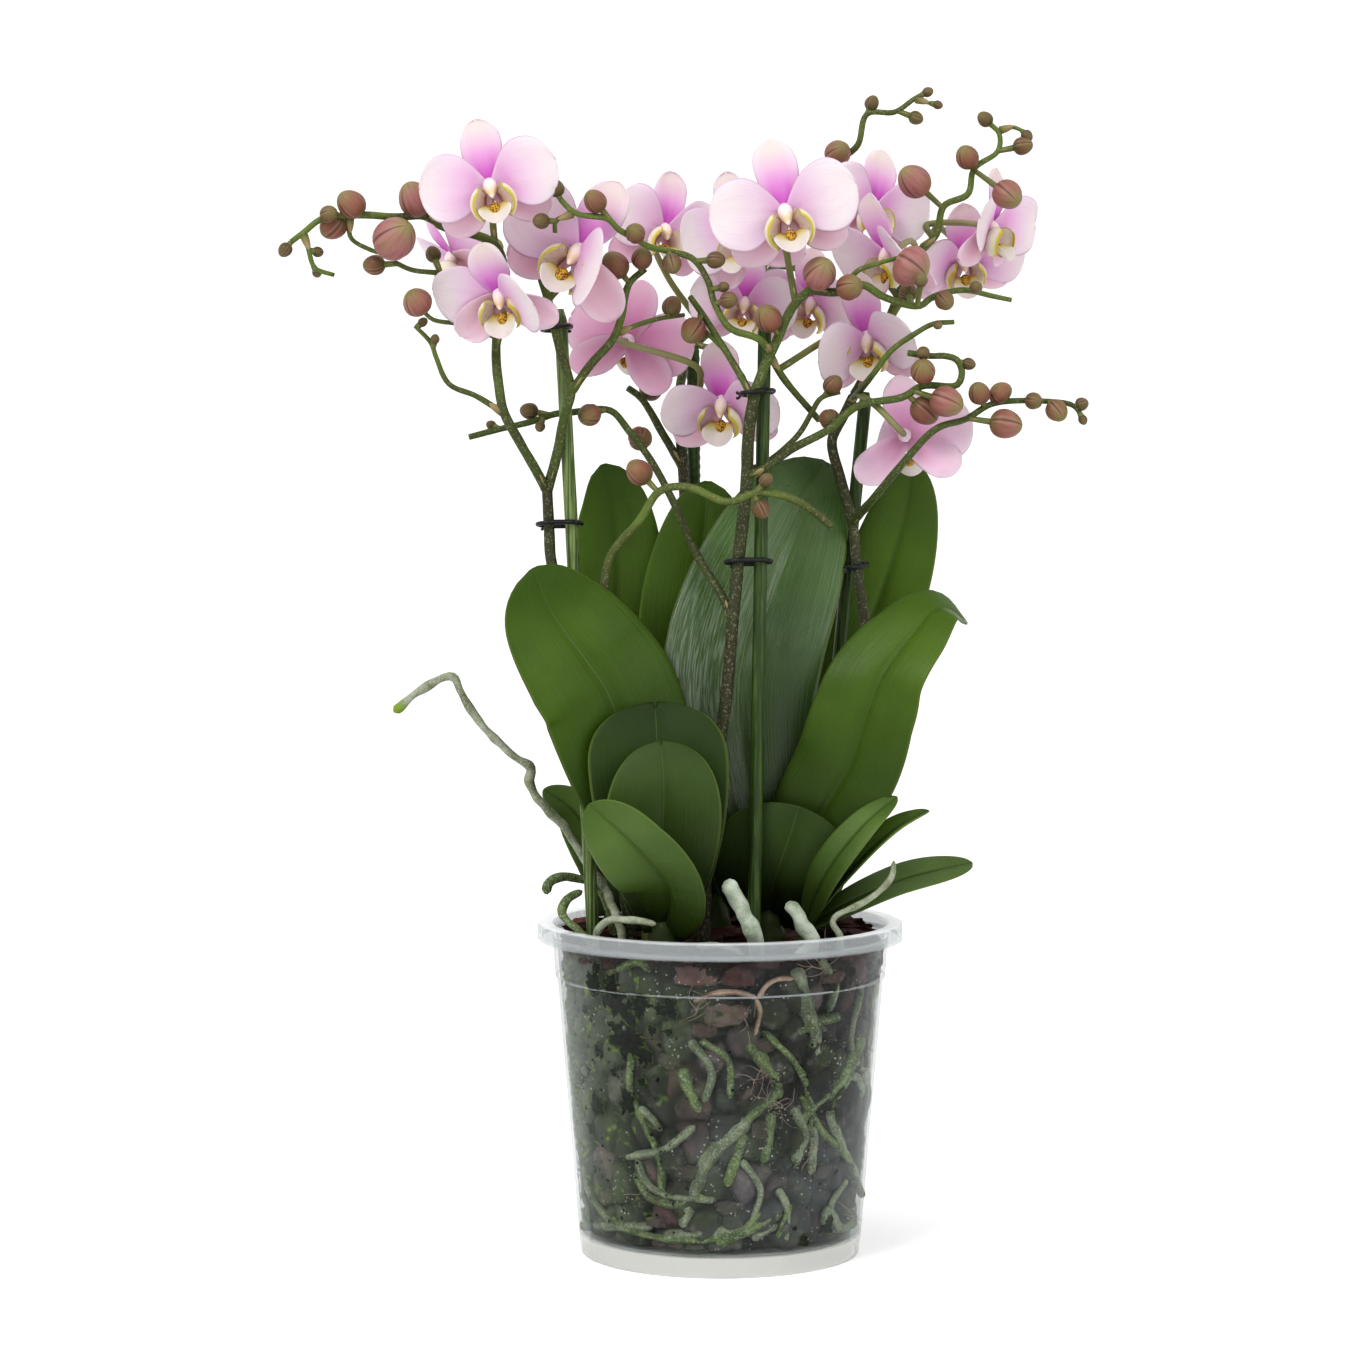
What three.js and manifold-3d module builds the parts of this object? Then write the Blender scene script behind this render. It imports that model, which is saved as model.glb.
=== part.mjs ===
// A potted moth orchid: a clear ribbed pot of bark, roots, four leafy plants,
// five flowering stems tied to four canes, and seventeen open blooms.
// Millimetres, +Z up. The plant is laid out round the pot's axis and the whole
// group is then moved so that its box stands centred on the origin.
import * as THREE from "three";
import { mergeVertices } from "three/addons/utils/BufferGeometryUtils.js";
import Module from "manifold-3d";

const wasm = await Module();
wasm.setup();

// ---- Driving dimensions -------------------------------------------------

const GAP = 0.35; // clearance between pieces that touch on the real plant
const SMALLEST_FACET = 0.28; // finer slivers, left where solids join, are merged

const POT_HEIGHT = 109.5;
const RIM_RADIUS = 60;
const RIM_BAND = 5.6; // height of the turned-down rim
const WALL = 0.9;
const FOOT_RADIUS = 45.9;
const FOOT_HEIGHT = 7; // the milky skirt that the pot stands on
const FOOT_TOP_RADIUS = 46.7;
const STEP_HEIGHT = 91.2; // the line where the wall steps out
const STEP_RADIUS = 53.7;
const STEP_OUT = 0.7;
const NECK_RADIUS = 55.3; // outside of the wall just under the rim
const POT_SIDES = 26;
const DRAIN_HOLES = 6;
const DRAIN_RADIUS = 3.2;
const DRAIN_RING = 30;

const BARK_LEVEL = 99;
const BARK_CHIPS = 6;
const CHIP_SIZE = 15;
const BARK_INSET = 1.3; // the heap stands this far inside the wall
const ROOT_INSET = 2.7; // the roots that show through the wall run this far in

const CANE_RADIUS = 2.15;
const CANE_FOOT = 16; // the canes end this high above the table
const TIE_RADIUS = 0.8;

const LEAF_THICK = 1.5;
const TEPAL_THICK = 1.0;
const SEPAL_LENGTH = 21.2;
const SEPAL_HALF = 6.9;
const PETAL_LENGTH = 22.8;
const PETAL_HALF = 11.8;
const COLUMN_RADIUS = 2.1;
const COLUMN_BACK = 3.4; // the bloom's back end, where its stalk meets it
const COLUMN_FRONT = 5.2;
const STALK_BEND = 8; // a bloom's stalk turns in this far behind its back
const BIG_BUD = 7.5; // wider buds have more facets
const THIN_BRANCH = 1.45;
const BUD_STALK = 0.85;
const STEM_DEPTH = 8; // the flowering stems end this far down in the bark
const HEART = 11; // a plant's leaves spring from its axis this far above the bark
const CROWN_TOP = 17;

// ---- The view that the plant was measured in ------------------------------
// A picture point is [column, row]. The eye looks along +Y and a little down,
// and `seen` gives the point at depth y on the line of sight through it.

const EYE = new THREE.Vector3(-12.3, -1267, 270);
const LOOK_DOWN = THREE.MathUtils.degToRad(3.7);
const FOCAL = 3863;
const MIDDLE = 683;

function seen([column, row, y]) {
  const right = (column - MIDDLE) / FOCAL;
  const down = (row - MIDDLE) / FOCAL;
  const ray = new THREE.Vector3(
    right,
    Math.cos(LOOK_DOWN) - down * Math.sin(LOOK_DOWN),
    -Math.sin(LOOK_DOWN) - down * Math.cos(LOOK_DOWN),
  );
  return EYE.clone().addScaledVector(ray, (y - EYE.y) / ray.y);
}

// ---- Solids ----------------------------------------------------------------

function solidFrom(positions, faces) {
  const flat = new Float32Array(positions.length * 3);
  positions.forEach((p, i) => flat.set([p.x, p.y, p.z], i * 3));
  const make = (list) =>
    new wasm.Manifold(
      new wasm.Mesh({ numProp: 3, vertProperties: flat, triVerts: new Uint32Array(list.flat()) }),
    );
  const made = make(faces);
  return made.volume() < 0 ? make(faces.map(([a, b, c]) => [a, c, b])) : made;
}

function solidOf(geometry) {
  const bare = geometry.clone();
  bare.deleteAttribute("normal");
  bare.deleteAttribute("uv");
  const merged = mergeVertices(bare, 1e-4);
  const corner = merged.getAttribute("position");
  const positions = [];
  for (let i = 0; i < corner.count; i += 1) {
    positions.push(new THREE.Vector3().fromBufferAttribute(corner, i));
  }
  const faces = [];
  for (let i = 0; i < merged.index.count; i += 3) {
    const [a, b, c] = [0, 1, 2].map((k) => merged.index.getX(i + k));
    if (a !== b && b !== c && a !== c) faces.push([a, b, c]);
  }
  return solidFrom(positions, faces);
}

function join(solids) {
  return solids.slice(1).reduce((all, next) => all.add(next), solids[0]);
}

// The largest body, for a cut that may leave a loose scrap.
function mainBody(solid) {
  const bodies = solid.decompose();
  bodies.sort((a, b) => b.volume() - a.volume());
  return bodies[0];
}

function meshOf(name, solid, colour, roughness = 0.6) {
  const out = mainBody(solid.simplify(SMALLEST_FACET)).getMesh();
  const geometry = new THREE.BufferGeometry();
  geometry.setAttribute("position", new THREE.BufferAttribute(out.vertProperties, 3));
  geometry.setIndex(new THREE.BufferAttribute(out.triVerts, 1));
  geometry.computeVertexNormals();
  const material = new THREE.MeshStandardMaterial({ color: colour, roughness, metalness: 0 });
  const mesh = new THREE.Mesh(geometry, material);
  mesh.name = name;
  return mesh;
}

// A closed body of rings of corners: ring i stands round centres[i], across
// axes[i], with radii[i]; `grow` swells it all round and at both ends.
function loft(centres, axes, radii, sides, grow = 0) {
  const positions = [];
  const faces = [];
  const side = new THREE.Vector3(0.31, 0.93, 0.2).cross(axes[0]).normalize();
  centres.forEach((centre, i) => {
    side.addScaledVector(axes[i], -side.dot(axes[i])).normalize();
    const other = axes[i].clone().cross(side);
    for (let k = 0; k < sides; k += 1) {
      const turn = (2 * Math.PI * k) / sides;
      positions.push(
        centre
          .clone()
          .addScaledVector(side, (radii[i] + grow) * Math.cos(turn))
          .addScaledVector(other, (radii[i] + grow) * Math.sin(turn)),
      );
    }
  });
  const end = (centres.length - 1) * sides;
  const first = positions.push(centres[0].clone().addScaledVector(axes[0], -grow)) - 1;
  const tip = centres.at(-1).clone().addScaledVector(axes.at(-1), grow);
  const last = positions.push(tip) - 1;
  for (let k = 0; k < sides; k += 1) {
    const next = (k + 1) % sides;
    faces.push([first, next, k], [last, end + k, end + next]);
    for (let a = 0; a < end; a += sides) {
      faces.push([a + k, a + next, a + sides + next], [a + k, a + sides + next, a + sides + k]);
    }
  }
  return solidFrom(positions, faces);
}

// A round rod along a smooth line through the points, its radius going evenly
// from one end's to the other's. With grow it is the cutter for its own hole.
function rod(points, [startRadius, endRadius], { sides = 6, steps, grow = 0 }) {
  const curve = new THREE.CatmullRomCurve3(points, false, "centripetal");
  const shares = Array.from({ length: steps + 1 }, (_, i) => i / steps);
  const centres = shares.map((share) => curve.getPointAt(share));
  const axes = shares.map((share) => curve.getTangentAt(share));
  const radii = shares.map((share) => THREE.MathUtils.lerp(startRadius, endRadius, share));
  return loft(centres, axes, radii, sides, grow);
}

// A thin closed blade. place(s, c) is its middle surface, s from root to tip
// and c from one edge to the other; both faces are split alike and meet at
// the edges, the root and the tip.
function blade(place, { rows, columns, thick }) {
  const positions = [];
  const faces = [];
  const step = 0.02;
  const along = (i) => Math.sin((Math.PI / 2) * (i / rows)) ** 0.92;
  const corner = [];
  for (let i = 0; i < rows; i += 1) {
    corner.push([]);
    for (let k = 0; k <= columns; k += 1) {
      const s = along(i);
      const c = (2 * k) / columns - 1;
      const middle = place(s, c);
      if (i === 0 || k === 0 || k === columns) {
        const shared = positions.push(middle) - 1;
        corner[i].push([shared, shared]);
      } else {
        const alongway = place(s + step, c).sub(place(s - step, c));
        const across = place(s, c + step).sub(place(s, c - step));
        const normal = alongway.cross(across).normalize();
        const front = positions.push(middle.clone().addScaledVector(normal, thick / 2)) - 1;
        const back = positions.push(middle.clone().addScaledVector(normal, -thick / 2)) - 1;
        corner[i].push([front, back]);
      }
    }
  }
  const tip = positions.push(place(1, 0)) - 1;
  for (let side = 0; side < 2; side += 1) {
    const face = (a, b, c) => {
      if (a !== b && b !== c && a !== c) faces.push(side ? [a, c, b] : [a, b, c]);
    };
    for (let i = 0; i < rows - 1; i += 1) {
      for (let k = 0; k < columns; k += 1) {
        const [a, b] = [corner[i][k][side], corner[i][k + 1][side]];
        const [c, d] = [corner[i + 1][k + 1][side], corner[i + 1][k][side]];
        face(a, b, c);
        face(a, c, d);
      }
    }
    for (let k = 0; k < columns; k += 1) {
      face(corner[rows - 1][k][side], corner[rows - 1][k + 1][side], tip);
    }
  }
  return solidFrom(positions, faces);
}

// An egg along `axis`, as a few rings of corners.
function egg(centre, axis, half, radius, sides, rings) {
  const pole = axis.clone().normalize();
  const turns = Array.from({ length: rings }, (_, i) => (Math.PI * (i + 0.6)) / (rings + 0.2));
  const centres = turns.map((turn) => centre.clone().addScaledVector(pole, -half * Math.cos(turn)));
  const radii = turns.map((turn) => radius * Math.sin(turn));
  return loft(centres, turns.map(() => pole), radii, sides);
}

// ---- Pot ---------------------------------------------------------------------

function wallRadius(z) {
  const low = THREE.MathUtils.mapLinear(z, FOOT_HEIGHT, STEP_HEIGHT, FOOT_TOP_RADIUS, STEP_RADIUS);
  const high = THREE.MathUtils.mapLinear(
    z,
    STEP_HEIGHT,
    POT_HEIGHT - RIM_BAND,
    STEP_RADIUS + STEP_OUT,
    NECK_RADIUS,
  );
  return z < STEP_HEIGHT ? low : high;
}

function makePot() {
  const top = POT_HEIGHT;
  const neck = POT_HEIGHT - RIM_BAND;
  const inner = NECK_RADIUS - WALL;
  const profile = [
    [FOOT_RADIUS - 2.4, 0],
    [FOOT_RADIUS, 0],
    [FOOT_TOP_RADIUS, FOOT_HEIGHT],
    [STEP_RADIUS, STEP_HEIGHT],
    [STEP_RADIUS + STEP_OUT, STEP_HEIGHT + 0.6],
    [NECK_RADIUS, neck + 1.4],
    [RIM_RADIUS - 1.2, neck + 1.4],
    [RIM_RADIUS - 1.2, neck],
    [RIM_RADIUS, neck],
    [RIM_RADIUS, top - 0.8],
    [RIM_RADIUS - 0.8, top],
    [inner + 1, top],
    [inner, top - 1.5],
    [STEP_RADIUS - WALL, STEP_HEIGHT],
    [FOOT_TOP_RADIUS - WALL, FOOT_HEIGHT],
    [0, FOOT_HEIGHT],
    [0, FOOT_HEIGHT - 1.2],
    [FOOT_RADIUS - 2.4, FOOT_HEIGHT - 1.2],
  ];
  const points = [...profile, profile[0]].map(([r, z]) => new THREE.Vector2(r, z));
  const shell = new THREE.LatheGeometry(points, POT_SIDES);
  shell.rotateX(Math.PI / 2);
  let pot = solidOf(shell);
  for (let i = 0; i < DRAIN_HOLES; i += 1) {
    const turn = (2 * Math.PI * (i + 0.5)) / DRAIN_HOLES;
    const hole = new THREE.CylinderGeometry(DRAIN_RADIUS, DRAIN_RADIUS, 6, 8);
    hole.rotateX(Math.PI / 2);
    hole.translate(DRAIN_RING * Math.cos(turn), DRAIN_RING * Math.sin(turn), FOOT_HEIGHT - 0.6);
    pot = pot.subtract(solidOf(hole));
  }
  return pot;
}

// ---- Canes and ties ------------------------------------------------------------
// Each cane is a straight rod between two picture points, and runs on below
// the bark to its foot.

const CANES = {
  left: { low: [593, 930, -8], high: [560, 309, -6] },
  centre: { low: [754, 930, -27], high: [765, 316, -15] },
  back: { low: [697, 900, 34], high: [693, 347, 26] },
  right: { low: [811, 930, 14.5], high: [866, 392, 12.5] },
};

function caneEnds({ low, high }) {
  const [a, b] = [seen(low), seen(high)];
  const downward = a.clone().sub(b).normalize();
  const foot = a.clone().addScaledVector(downward, (a.z - CANE_FOOT) / -downward.z);
  return [foot, b];
}

function caneAt(cane, row) {
  const [foot, top] = caneEnds(CANES[cane]);
  const z = seen([MIDDLE, row, foot.y]).z;
  return top.clone().lerp(foot, (top.z - z) / (top.z - foot.z));
}

function makeCane(name, grow = 0) {
  return rod(caneEnds(CANES[name]), [CANE_RADIUS, CANE_RADIUS], { sides: 8, steps: 1, grow });
}

// A soft black ring round a cane and the stem beside it.
const TIES = {
  left_low: { cane: "left", row: 524, stem: [549, 524, -8.6], reach: 3.7 },
  left_top: { cane: "left", row: 328, stem: [555, 328, -12.5], reach: 4.2 },
  centre_low: { cane: "centre", row: 563, stem: [738, 563, -21], reach: 4 },
  centre_top: { cane: "centre", row: 392, stem: [754, 392, -21.5], reach: 4.2 },
  right_low: { cane: "right", row: 565, stem: [857, 565, 7.4], reach: 3.4 },
};

function makeTie({ cane, row, stem, reach }) {
  const post = caneAt(cane, row);
  const shoot = seen(stem);
  shoot.z = post.z;
  const axis = shoot.clone().sub(post);
  const span = axis.length();
  axis.normalize();
  const side = new THREE.Vector3(-axis.y, axis.x, 0);
  const clear = TIE_RADIUS + GAP;
  const postReach = CANE_RADIUS + clear;
  const points = [];
  const ends = [
    [post, postReach, Math.PI / 2],
    [shoot, reach, -Math.PI / 2],
  ];
  ends.forEach(([centre, radius, start]) => {
    for (let i = 0; i <= 3; i += 1) {
      const turn = start + (Math.PI * i) / 3;
      points.push(
        centre
          .clone()
          .addScaledVector(axis, radius * Math.cos(turn))
          .addScaledVector(side, radius * Math.sin(turn))
          .addScaledVector(new THREE.Vector3(0, 0, 1), 0.02 * span * i),
      );
    }
  });
  const curve = new THREE.CatmullRomCurve3(points, true, "centripetal");
  return closedRing(curve, TIE_RADIUS, 12, 4);
}

// A cord of round section along a closed, nearly level curve.
function closedRing(curve, radius, steps, sides) {
  const positions = [];
  const faces = [];
  for (let i = 0; i < steps; i += 1) {
    const centre = curve.getPointAt(i / steps);
    const outward = curve.getTangentAt(i / steps).cross(new THREE.Vector3(0, 0, 1)).normalize();
    for (let k = 0; k < sides; k += 1) {
      const turn = (2 * Math.PI * (k + 0.5)) / sides;
      const point = centre.clone().addScaledVector(outward, radius * Math.cos(turn));
      positions.push(point.setZ(point.z + radius * Math.sin(turn)));
      const [a, b] = [i * sides, ((i + 1) % steps) * sides];
      const next = (k + 1) % sides;
      faces.push([a + k, a + next, b + next], [a + k, b + next, b + k]);
    }
  }
  return solidFrom(positions, faces);
}

// ---- Leaves -----------------------------------------------------------------------
// route: the midrib's picture points; half: half the width; faces: the way the
// upper side looks as [azimuth, height] at the root and at the tip, azimuth 0
// towards the viewer and 90 to the right; fold: how far the sides rise.

const LEAVES = {
  front: {
    crown: [664, 925, -27],
    radius: 7.5,
    blades: [
      { route: [[645, 815, -24], [610, 697, -25], [587, 661, -27], [551, 611, -30], [533, 568, -34]],
        half: 24.5, faces: [[25, 10], [15, 25]], fold: 0.12, root: 0.3, peak: 0.62 },
      { route: [[663, 850, -29], [658, 760, -31], [655, 702, -28]],
        half: 22.5, faces: [[0, 10], [0, 20]], fold: 0.3, root: 0.42, peak: 0.74, notch: 0.05 },
      { route: [[662, 860, -39], [664, 790, -43], [661, 741, -40]],
        half: 18.5, faces: [[0, 5], [0, 15]], fold: 0.2, root: 0.35, peak: 0.62, notch: 0.04 },
      { route: [[668, 888, -44], [630, 842, -52], [589, 804, -54]],
        half: 15, faces: [[-25, -20], [-30, -5]], fold: 0.3, root: 0.5, peak: 0.5 },
    ],
  },
  middle: {
    crown: [768, 925, -4],
    radius: 8,
    blades: [
      { route: [[752, 820, -8], [738, 700, -7], [745, 646, -4], [765, 585, 2], [797, 511, 11], [826, 462, 19]],
        half: 26, faces: [[4, 12], [14, 28]], fold: 0.22, root: 0.3, peak: 0.55 },
      { route: [[796, 858, -13], [822, 812, -17], [848, 767, -20], [866, 714, -22], [881, 676, -22],
                [908, 640, -20], [940, 608, -15], [966, 622, -9]],
        half: 18, faces: [[-8, 0], [-10, 60]], fold: 0.25, root: 0.22, peak: 0.45 },
      { route: [[774, 882, -16], [790, 835, -21], [799, 806, -22]],
        half: 22, faces: [[-5, 0], [0, 10]], fold: 0.12, root: 0.55, peak: 0.6 },
      { route: [[786, 820, 4], [815, 740, 5], [838, 686, 5]],
        half: 9, faces: [[-20, 0], [-20, 10]], fold: 0.2, root: 0.5, peak: 0.5 },
    ],
  },
  back: {
    crown: [716, 915, 25],
    radius: 7,
    blades: [
      { route: [[664, 790, 17], [622, 650, 19], [618, 566, 20], [614, 506, 19], [603, 464, 16]],
        half: 16, faces: [[0, 5], [5, 25]], fold: 0.2, root: 0.4, peak: 0.68 },
      { route: [[702, 770, 15], [698, 620, 14], [703, 550, 15], [708, 481, 16]],
        half: 20, faces: [[0, 5], [0, 20]], fold: 0.2, root: 0.4, peak: 0.6 },
      { route: [[772, 800, 29], [840, 690, 28], [882, 590, 26], [905, 510, 24], [913, 462, 22]],
        half: 15.5, faces: [[0, 5], [10, 25]], fold: 0.2, root: 0.4, peak: 0.66 },
    ],
  },
  right: {
    crown: [805, 932, -20],
    radius: 3.6,
    blades: [
      { route: [[828, 872, -31], [865, 825, -32], [897, 797, -28]],
        half: 6.5, faces: [[-30, 20], [-20, 40]], fold: 0.35, root: 0.4, peak: 0.45 },
      { route: [[850, 872, -27], [895, 830, -26], [929, 811, -22]],
        half: 5, faces: [[-45, 30], [-45, 40]], fold: 0.7, root: 0.6, peak: 0.45 },
      { route: [[853, 901, -24], [905, 879, -13], [972, 863, 0]],
        half: 6.5, faces: [[-10, 40], [-5, 45]], fold: 0.25, root: 0.5, peak: 0.62 },
    ],
  },
  left: {
    crown: [609, 930, 12],
    radius: 3.2,
    blades: [
      { route: [[598, 855, 11], [575, 812, 11], [543, 790, 11]],
        half: 8.5, faces: [[-20, 30], [-20, 50]], fold: 0.25, root: 0.45, peak: 0.55 },
      { route: [[618, 894, 16], [634, 882, 18], [650, 873, 19]],
        half: 5, faces: [[20, 20], [20, 30]], fold: 0.25, root: 0.5, peak: 0.5 },
    ],
  },
};

function facing([azimuth, height]) {
  const [a, h] = [azimuth, height].map(THREE.MathUtils.degToRad);
  return new THREE.Vector3(Math.sin(a) * Math.cos(h), -Math.cos(a) * Math.cos(h), Math.sin(h));
}

function outline(s, root, peak) {
  if (s < peak) return root + (1 - root) * Math.sin((Math.PI / 2) * Math.max(0, s / peak));
  return Math.sqrt(Math.max(0.004, 1 - ((s - peak) / (1 - peak)) ** 2.2));
}

function makeLeaf({ route, half, faces, fold, root, peak, notch = 0 }, crown) {
  const heart = seen(crown).setZ(BARK_LEVEL + HEART);
  const curve = new THREE.CatmullRomCurve3([heart, ...route.map(seen)], false, "centripetal");
  const [low, high] = faces.map(facing);
  const place = (s, c) => {
    const t = THREE.MathUtils.clamp(s, 0, 1);
    const tangent = curve.getTangentAt(t);
    const look = low.clone().lerp(high, t).normalize();
    const across = tangent.clone().cross(look).normalize().negate();
    const normal = across.clone().cross(tangent).normalize();
    if (normal.dot(look) < 0) normal.negate();
    const width = half * outline(t, root, peak);
    const rise = fold * Math.abs(c) * width - 0.12 * width * c * c;
    const back = notch * half * Math.max(0, 1 - 3 * Math.abs(c)) * Math.max(0, t - 0.9) * 20;
    return curve
      .getPointAt(t)
      .addScaledVector(tangent, (s - t) * 40 - back)
      .addScaledVector(across, width * c)
      .addScaledVector(normal, rise);
  };
  return blade(place, { rows: half > 10 ? 7 : 5, columns: half > 10 ? 4 : 2, thick: LEAF_THICK });
}

// The short stem that a plant's leaves sit on, down into the bark.
function makeCrown({ crown, radius }, grow = 0) {
  const top = seen(crown);
  const foot = top.clone().setZ(BARK_LEVEL - 12);
  top.z = BARK_LEVEL + CROWN_TOP;
  return rod([foot, top], [radius * 0.9, radius * 0.55], { sides: 6, steps: 1, grow });
}

function makePlant(plant) {
  return join([makeCrown(plant), ...plant.blades.map((leaf) => makeLeaf(leaf, plant.crown))]);
}

// ---- Blooms ------------------------------------------------------------------------
// at: the bloom's middle; faces: the way it looks; roll: clockwise to its
// viewer; lift: how far dorsal sepal, petals (left, right) and lower sepals
// (left, right) stand forward, in degrees; stalk: where its stalk leaves the
// stem of `on`, and via: what it passes on its way.

const FLAT = [-8, 8, 8, -8, -8];

const BLOOMS = [
  { at: [490, 186, -47], faces: [4, -12], roll: -13, size: 0.95, lift: FLAT, on: "left", stalk: [503, 258, -22] },
  { at: [578, 252, -33], faces: [-14, -10], roll: 33, size: 1.14, lift: [-5, 5, 62, -5, -10], on: "left", stalk: [548, 300, -14] },
  { at: [500, 294, -32], faces: [-10, -34], roll: -8, size: 0.94, lift: [12, 5, 48, 15, 10], on: "left", stalk: [498, 340, -23] },
  { at: [454, 257, 8], faces: [-74, -36], roll: -10, size: 0.96, lift: [0, 15, -28, 5, -8], on: "left", stalk: [480, 290, -19] },
  { at: [664, 230, 36], faces: [25, -8], roll: 12, size: 0.9, lift: FLAT, on: "back", stalk: [712, 332, 50] },
  { at: [628, 342, 8], faces: [168, -4], roll: -14, size: 0.95, lift: [5, 12, 12, 5, 5], on: "back", stalk: [681, 442, 25],
    via: [[697, 400, 12], [700, 372, 2], [688, 362, -4]] },
  { at: [785, 212, -30], faces: [4, -12], roll: -13, size: 1.04, lift: FLAT, on: "centre", stalk: [792, 300, -20] },
  { at: [741, 236, 8], faces: [-32, -14], roll: -16, size: 0.98, lift: FLAT, on: "back", stalk: [752, 295, 57] },
  { at: [745, 303, 34], faces: [-8, -15], roll: 6, size: 0.86, lift: [0, 25, 25, -5, -5], on: "back", stalk: [732, 316, 55] },
  { at: [812, 303, 37], faces: [-26, -22], roll: 8, size: 0.86, lift: [0, 14, 25, 0, 0], on: "back", stalk: [775, 265, 60] },
  { at: [722, 402, 6], faces: [-18, -36], roll: 4, size: 0.96, lift: [-10, 38, 20, 30, 5], on: "back", stalk: [700, 340, 46] },
  { at: [873, 208, 25], faces: [24, -6], roll: 14, size: 0.9, lift: [-8, 8, 8, -1, -1], on: "right", stalk: [895, 300, 34] },
  { at: [888, 254, 6], faces: [-52, -28], roll: 0, size: 0.95, lift: [0, 20, 30, 10, 5], on: "right", stalk: [885, 330, 16] },
  { at: [868, 338, 2], faces: [-22, -30], roll: -4, size: 0.96, lift: [-10, 58, 30, 20, 10], on: "centre", stalk: [778, 360, -14] },
  { at: [990, 227, 31], faces: [58, -14], roll: 0, size: 0.88, lift: [0, 22, 25, 5, 5], on: "right", stalk: [936, 240, 20] },
  { at: [963, 258, 54], faces: [12, -34], roll: -8, size: 0.92, lift: [0, 30, 20, 10, 5], on: "right", stalk: [930, 240, 18], via: [[939, 227, 48]] },
  { at: [905, 437, -6], faces: [168, -16], roll: 8, size: 0.96, lift: [5, 8, 58, 10, 10], on: "right", stalk: [860, 392, 0] },
];

function bloomFrame({ at, faces, roll }) {
  const z = facing(faces);
  const x = new THREE.Vector3(0, 0, 1).cross(z).normalize();
  const y = z.clone().cross(x);
  const frame = new THREE.Matrix4().makeBasis(x, y, z);
  frame.multiply(new THREE.Matrix4().makeRotationZ(-THREE.MathUtils.degToRad(roll)));
  return frame.setPosition(seen(at));
}

// One tepal: angle is its direction from the top, clockwise.
function tepal(frame, { angle, length, half, lift, peak, thick, size, root = 0.2 }) {
  const [turn, raise] = [angle, lift].map(THREE.MathUtils.degToRad);
  const place = (s, c) => {
    const t = THREE.MathUtils.clamp(s, 0, 1);
    const out = 0.8 + length * s;
    const width = half * outline(t, root, peak) * c;
    const ahead = out * Math.sin(raise) - 0.12 * length * s * s + 0.1 * half * c * c * t;
    const reach = out * Math.cos(raise);
    return new THREE.Vector3(
      reach * Math.sin(turn) + width * Math.cos(turn),
      reach * Math.cos(turn) - width * Math.sin(turn),
      ahead,
    )
      .multiplyScalar(size)
      .applyMatrix4(frame);
  };
  return blade(place, { rows: half > 10 ? 4 : 3, columns: 2, thick });
}

function makeBloom(bloom, grow = 0) {
  const frame = bloomFrame(bloom);
  const { size, lift } = bloom;
  const local = (x, y, z) => new THREE.Vector3(x, y, z).multiplyScalar(size).applyMatrix4(frame);
  const sepal = { length: SEPAL_LENGTH, half: SEPAL_HALF, peak: 0.58, root: 0.36 };
  const petal = { length: PETAL_LENGTH, half: PETAL_HALF, peak: 0.56, root: 0.16 };
  const thick = TEPAL_THICK + 2 * grow;
  const tepals = [
    { angle: 0, lift: lift[0], ...sepal },
    { angle: -80, lift: lift[1], ...petal },
    { angle: 80, lift: lift[2], ...petal },
    { angle: -128, lift: lift[3], ...sepal },
    { angle: 126, lift: lift[4], ...sepal },
  ].map((shape) => tepal(frame, { ...shape, thick, size }));
  const column = rod(
    [local(0, 0, -COLUMN_BACK), local(0, 0.3, 0), local(0, 0, COLUMN_FRONT)],
    [COLUMN_RADIUS * 0.8 * size, COLUMN_RADIUS * size],
    { sides: 4, steps: 1, grow },
  );
  return join([column, ...tepals]);
}

// The lip hangs below the column: a fleshy callus, two side lobes that rise
// beside the column and a middle lobe that runs forward and down.
function makeLip(bloom) {
  const frame = bloomFrame(bloom);
  const { size } = bloom;
  const local = (x, y, z) => new THREE.Vector3(x, y, z).multiplyScalar(size).applyMatrix4(frame);
  const axis = local(0, -0.8, 1).sub(local(0, 0, 0));
  const callus = egg(local(0, -4.6, 3.7), axis, 3.2 * size, 2.8 * size, 4, 2);
  const lobe = (start, towards, rise, length, half, bend) => {
    const place = (s, c) => {
      const t = THREE.MathUtils.clamp(s, 0, 1);
      const width = half * outline(t, 0.45, 0.6) * c;
      const at = start
        .clone()
        .addScaledVector(towards, length * s)
        .addScaledVector(rise, bend * length * s * s);
      const sideways = towards.clone().cross(rise).normalize();
      at.addScaledVector(sideways, width).addScaledVector(rise, 0.16 * half * c * c);
      return at.multiplyScalar(size).applyMatrix4(frame);
    };
    return blade(place, { rows: 2, columns: 2, thick: TEPAL_THICK * 1.1 });
  };
  const vector = (x, y, z) => new THREE.Vector3(x, y, z).normalize();
  const middle = lobe(
    new THREE.Vector3(0, -5.5, 4.6),
    vector(0, -0.72, 0.7),
    vector(0, 0.7, 0.72),
    9.5,
    5,
    0.12,
  );
  const sides = [-1, 1].map((side) =>
    lobe(
      new THREE.Vector3(side * 1.2, -5.2, 4.2),
      vector(side * 0.9, 0.1, 0.42),
      vector(-side * 0.42, 0.9, 0.2),
      8,
      3.6,
      0.55,
    ),
  );
  const whole = join([callus, middle, ...sides]);
  return mainBody(whole.subtract(makeBloom(bloom, GAP)));
}

// ---- Flowering stems -------------------------------------------------------------
// Each branch is [start radius, end radius] and picture points with depth; a
// bud is its middle, where its stalk leaves the branch, and its width.

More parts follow.
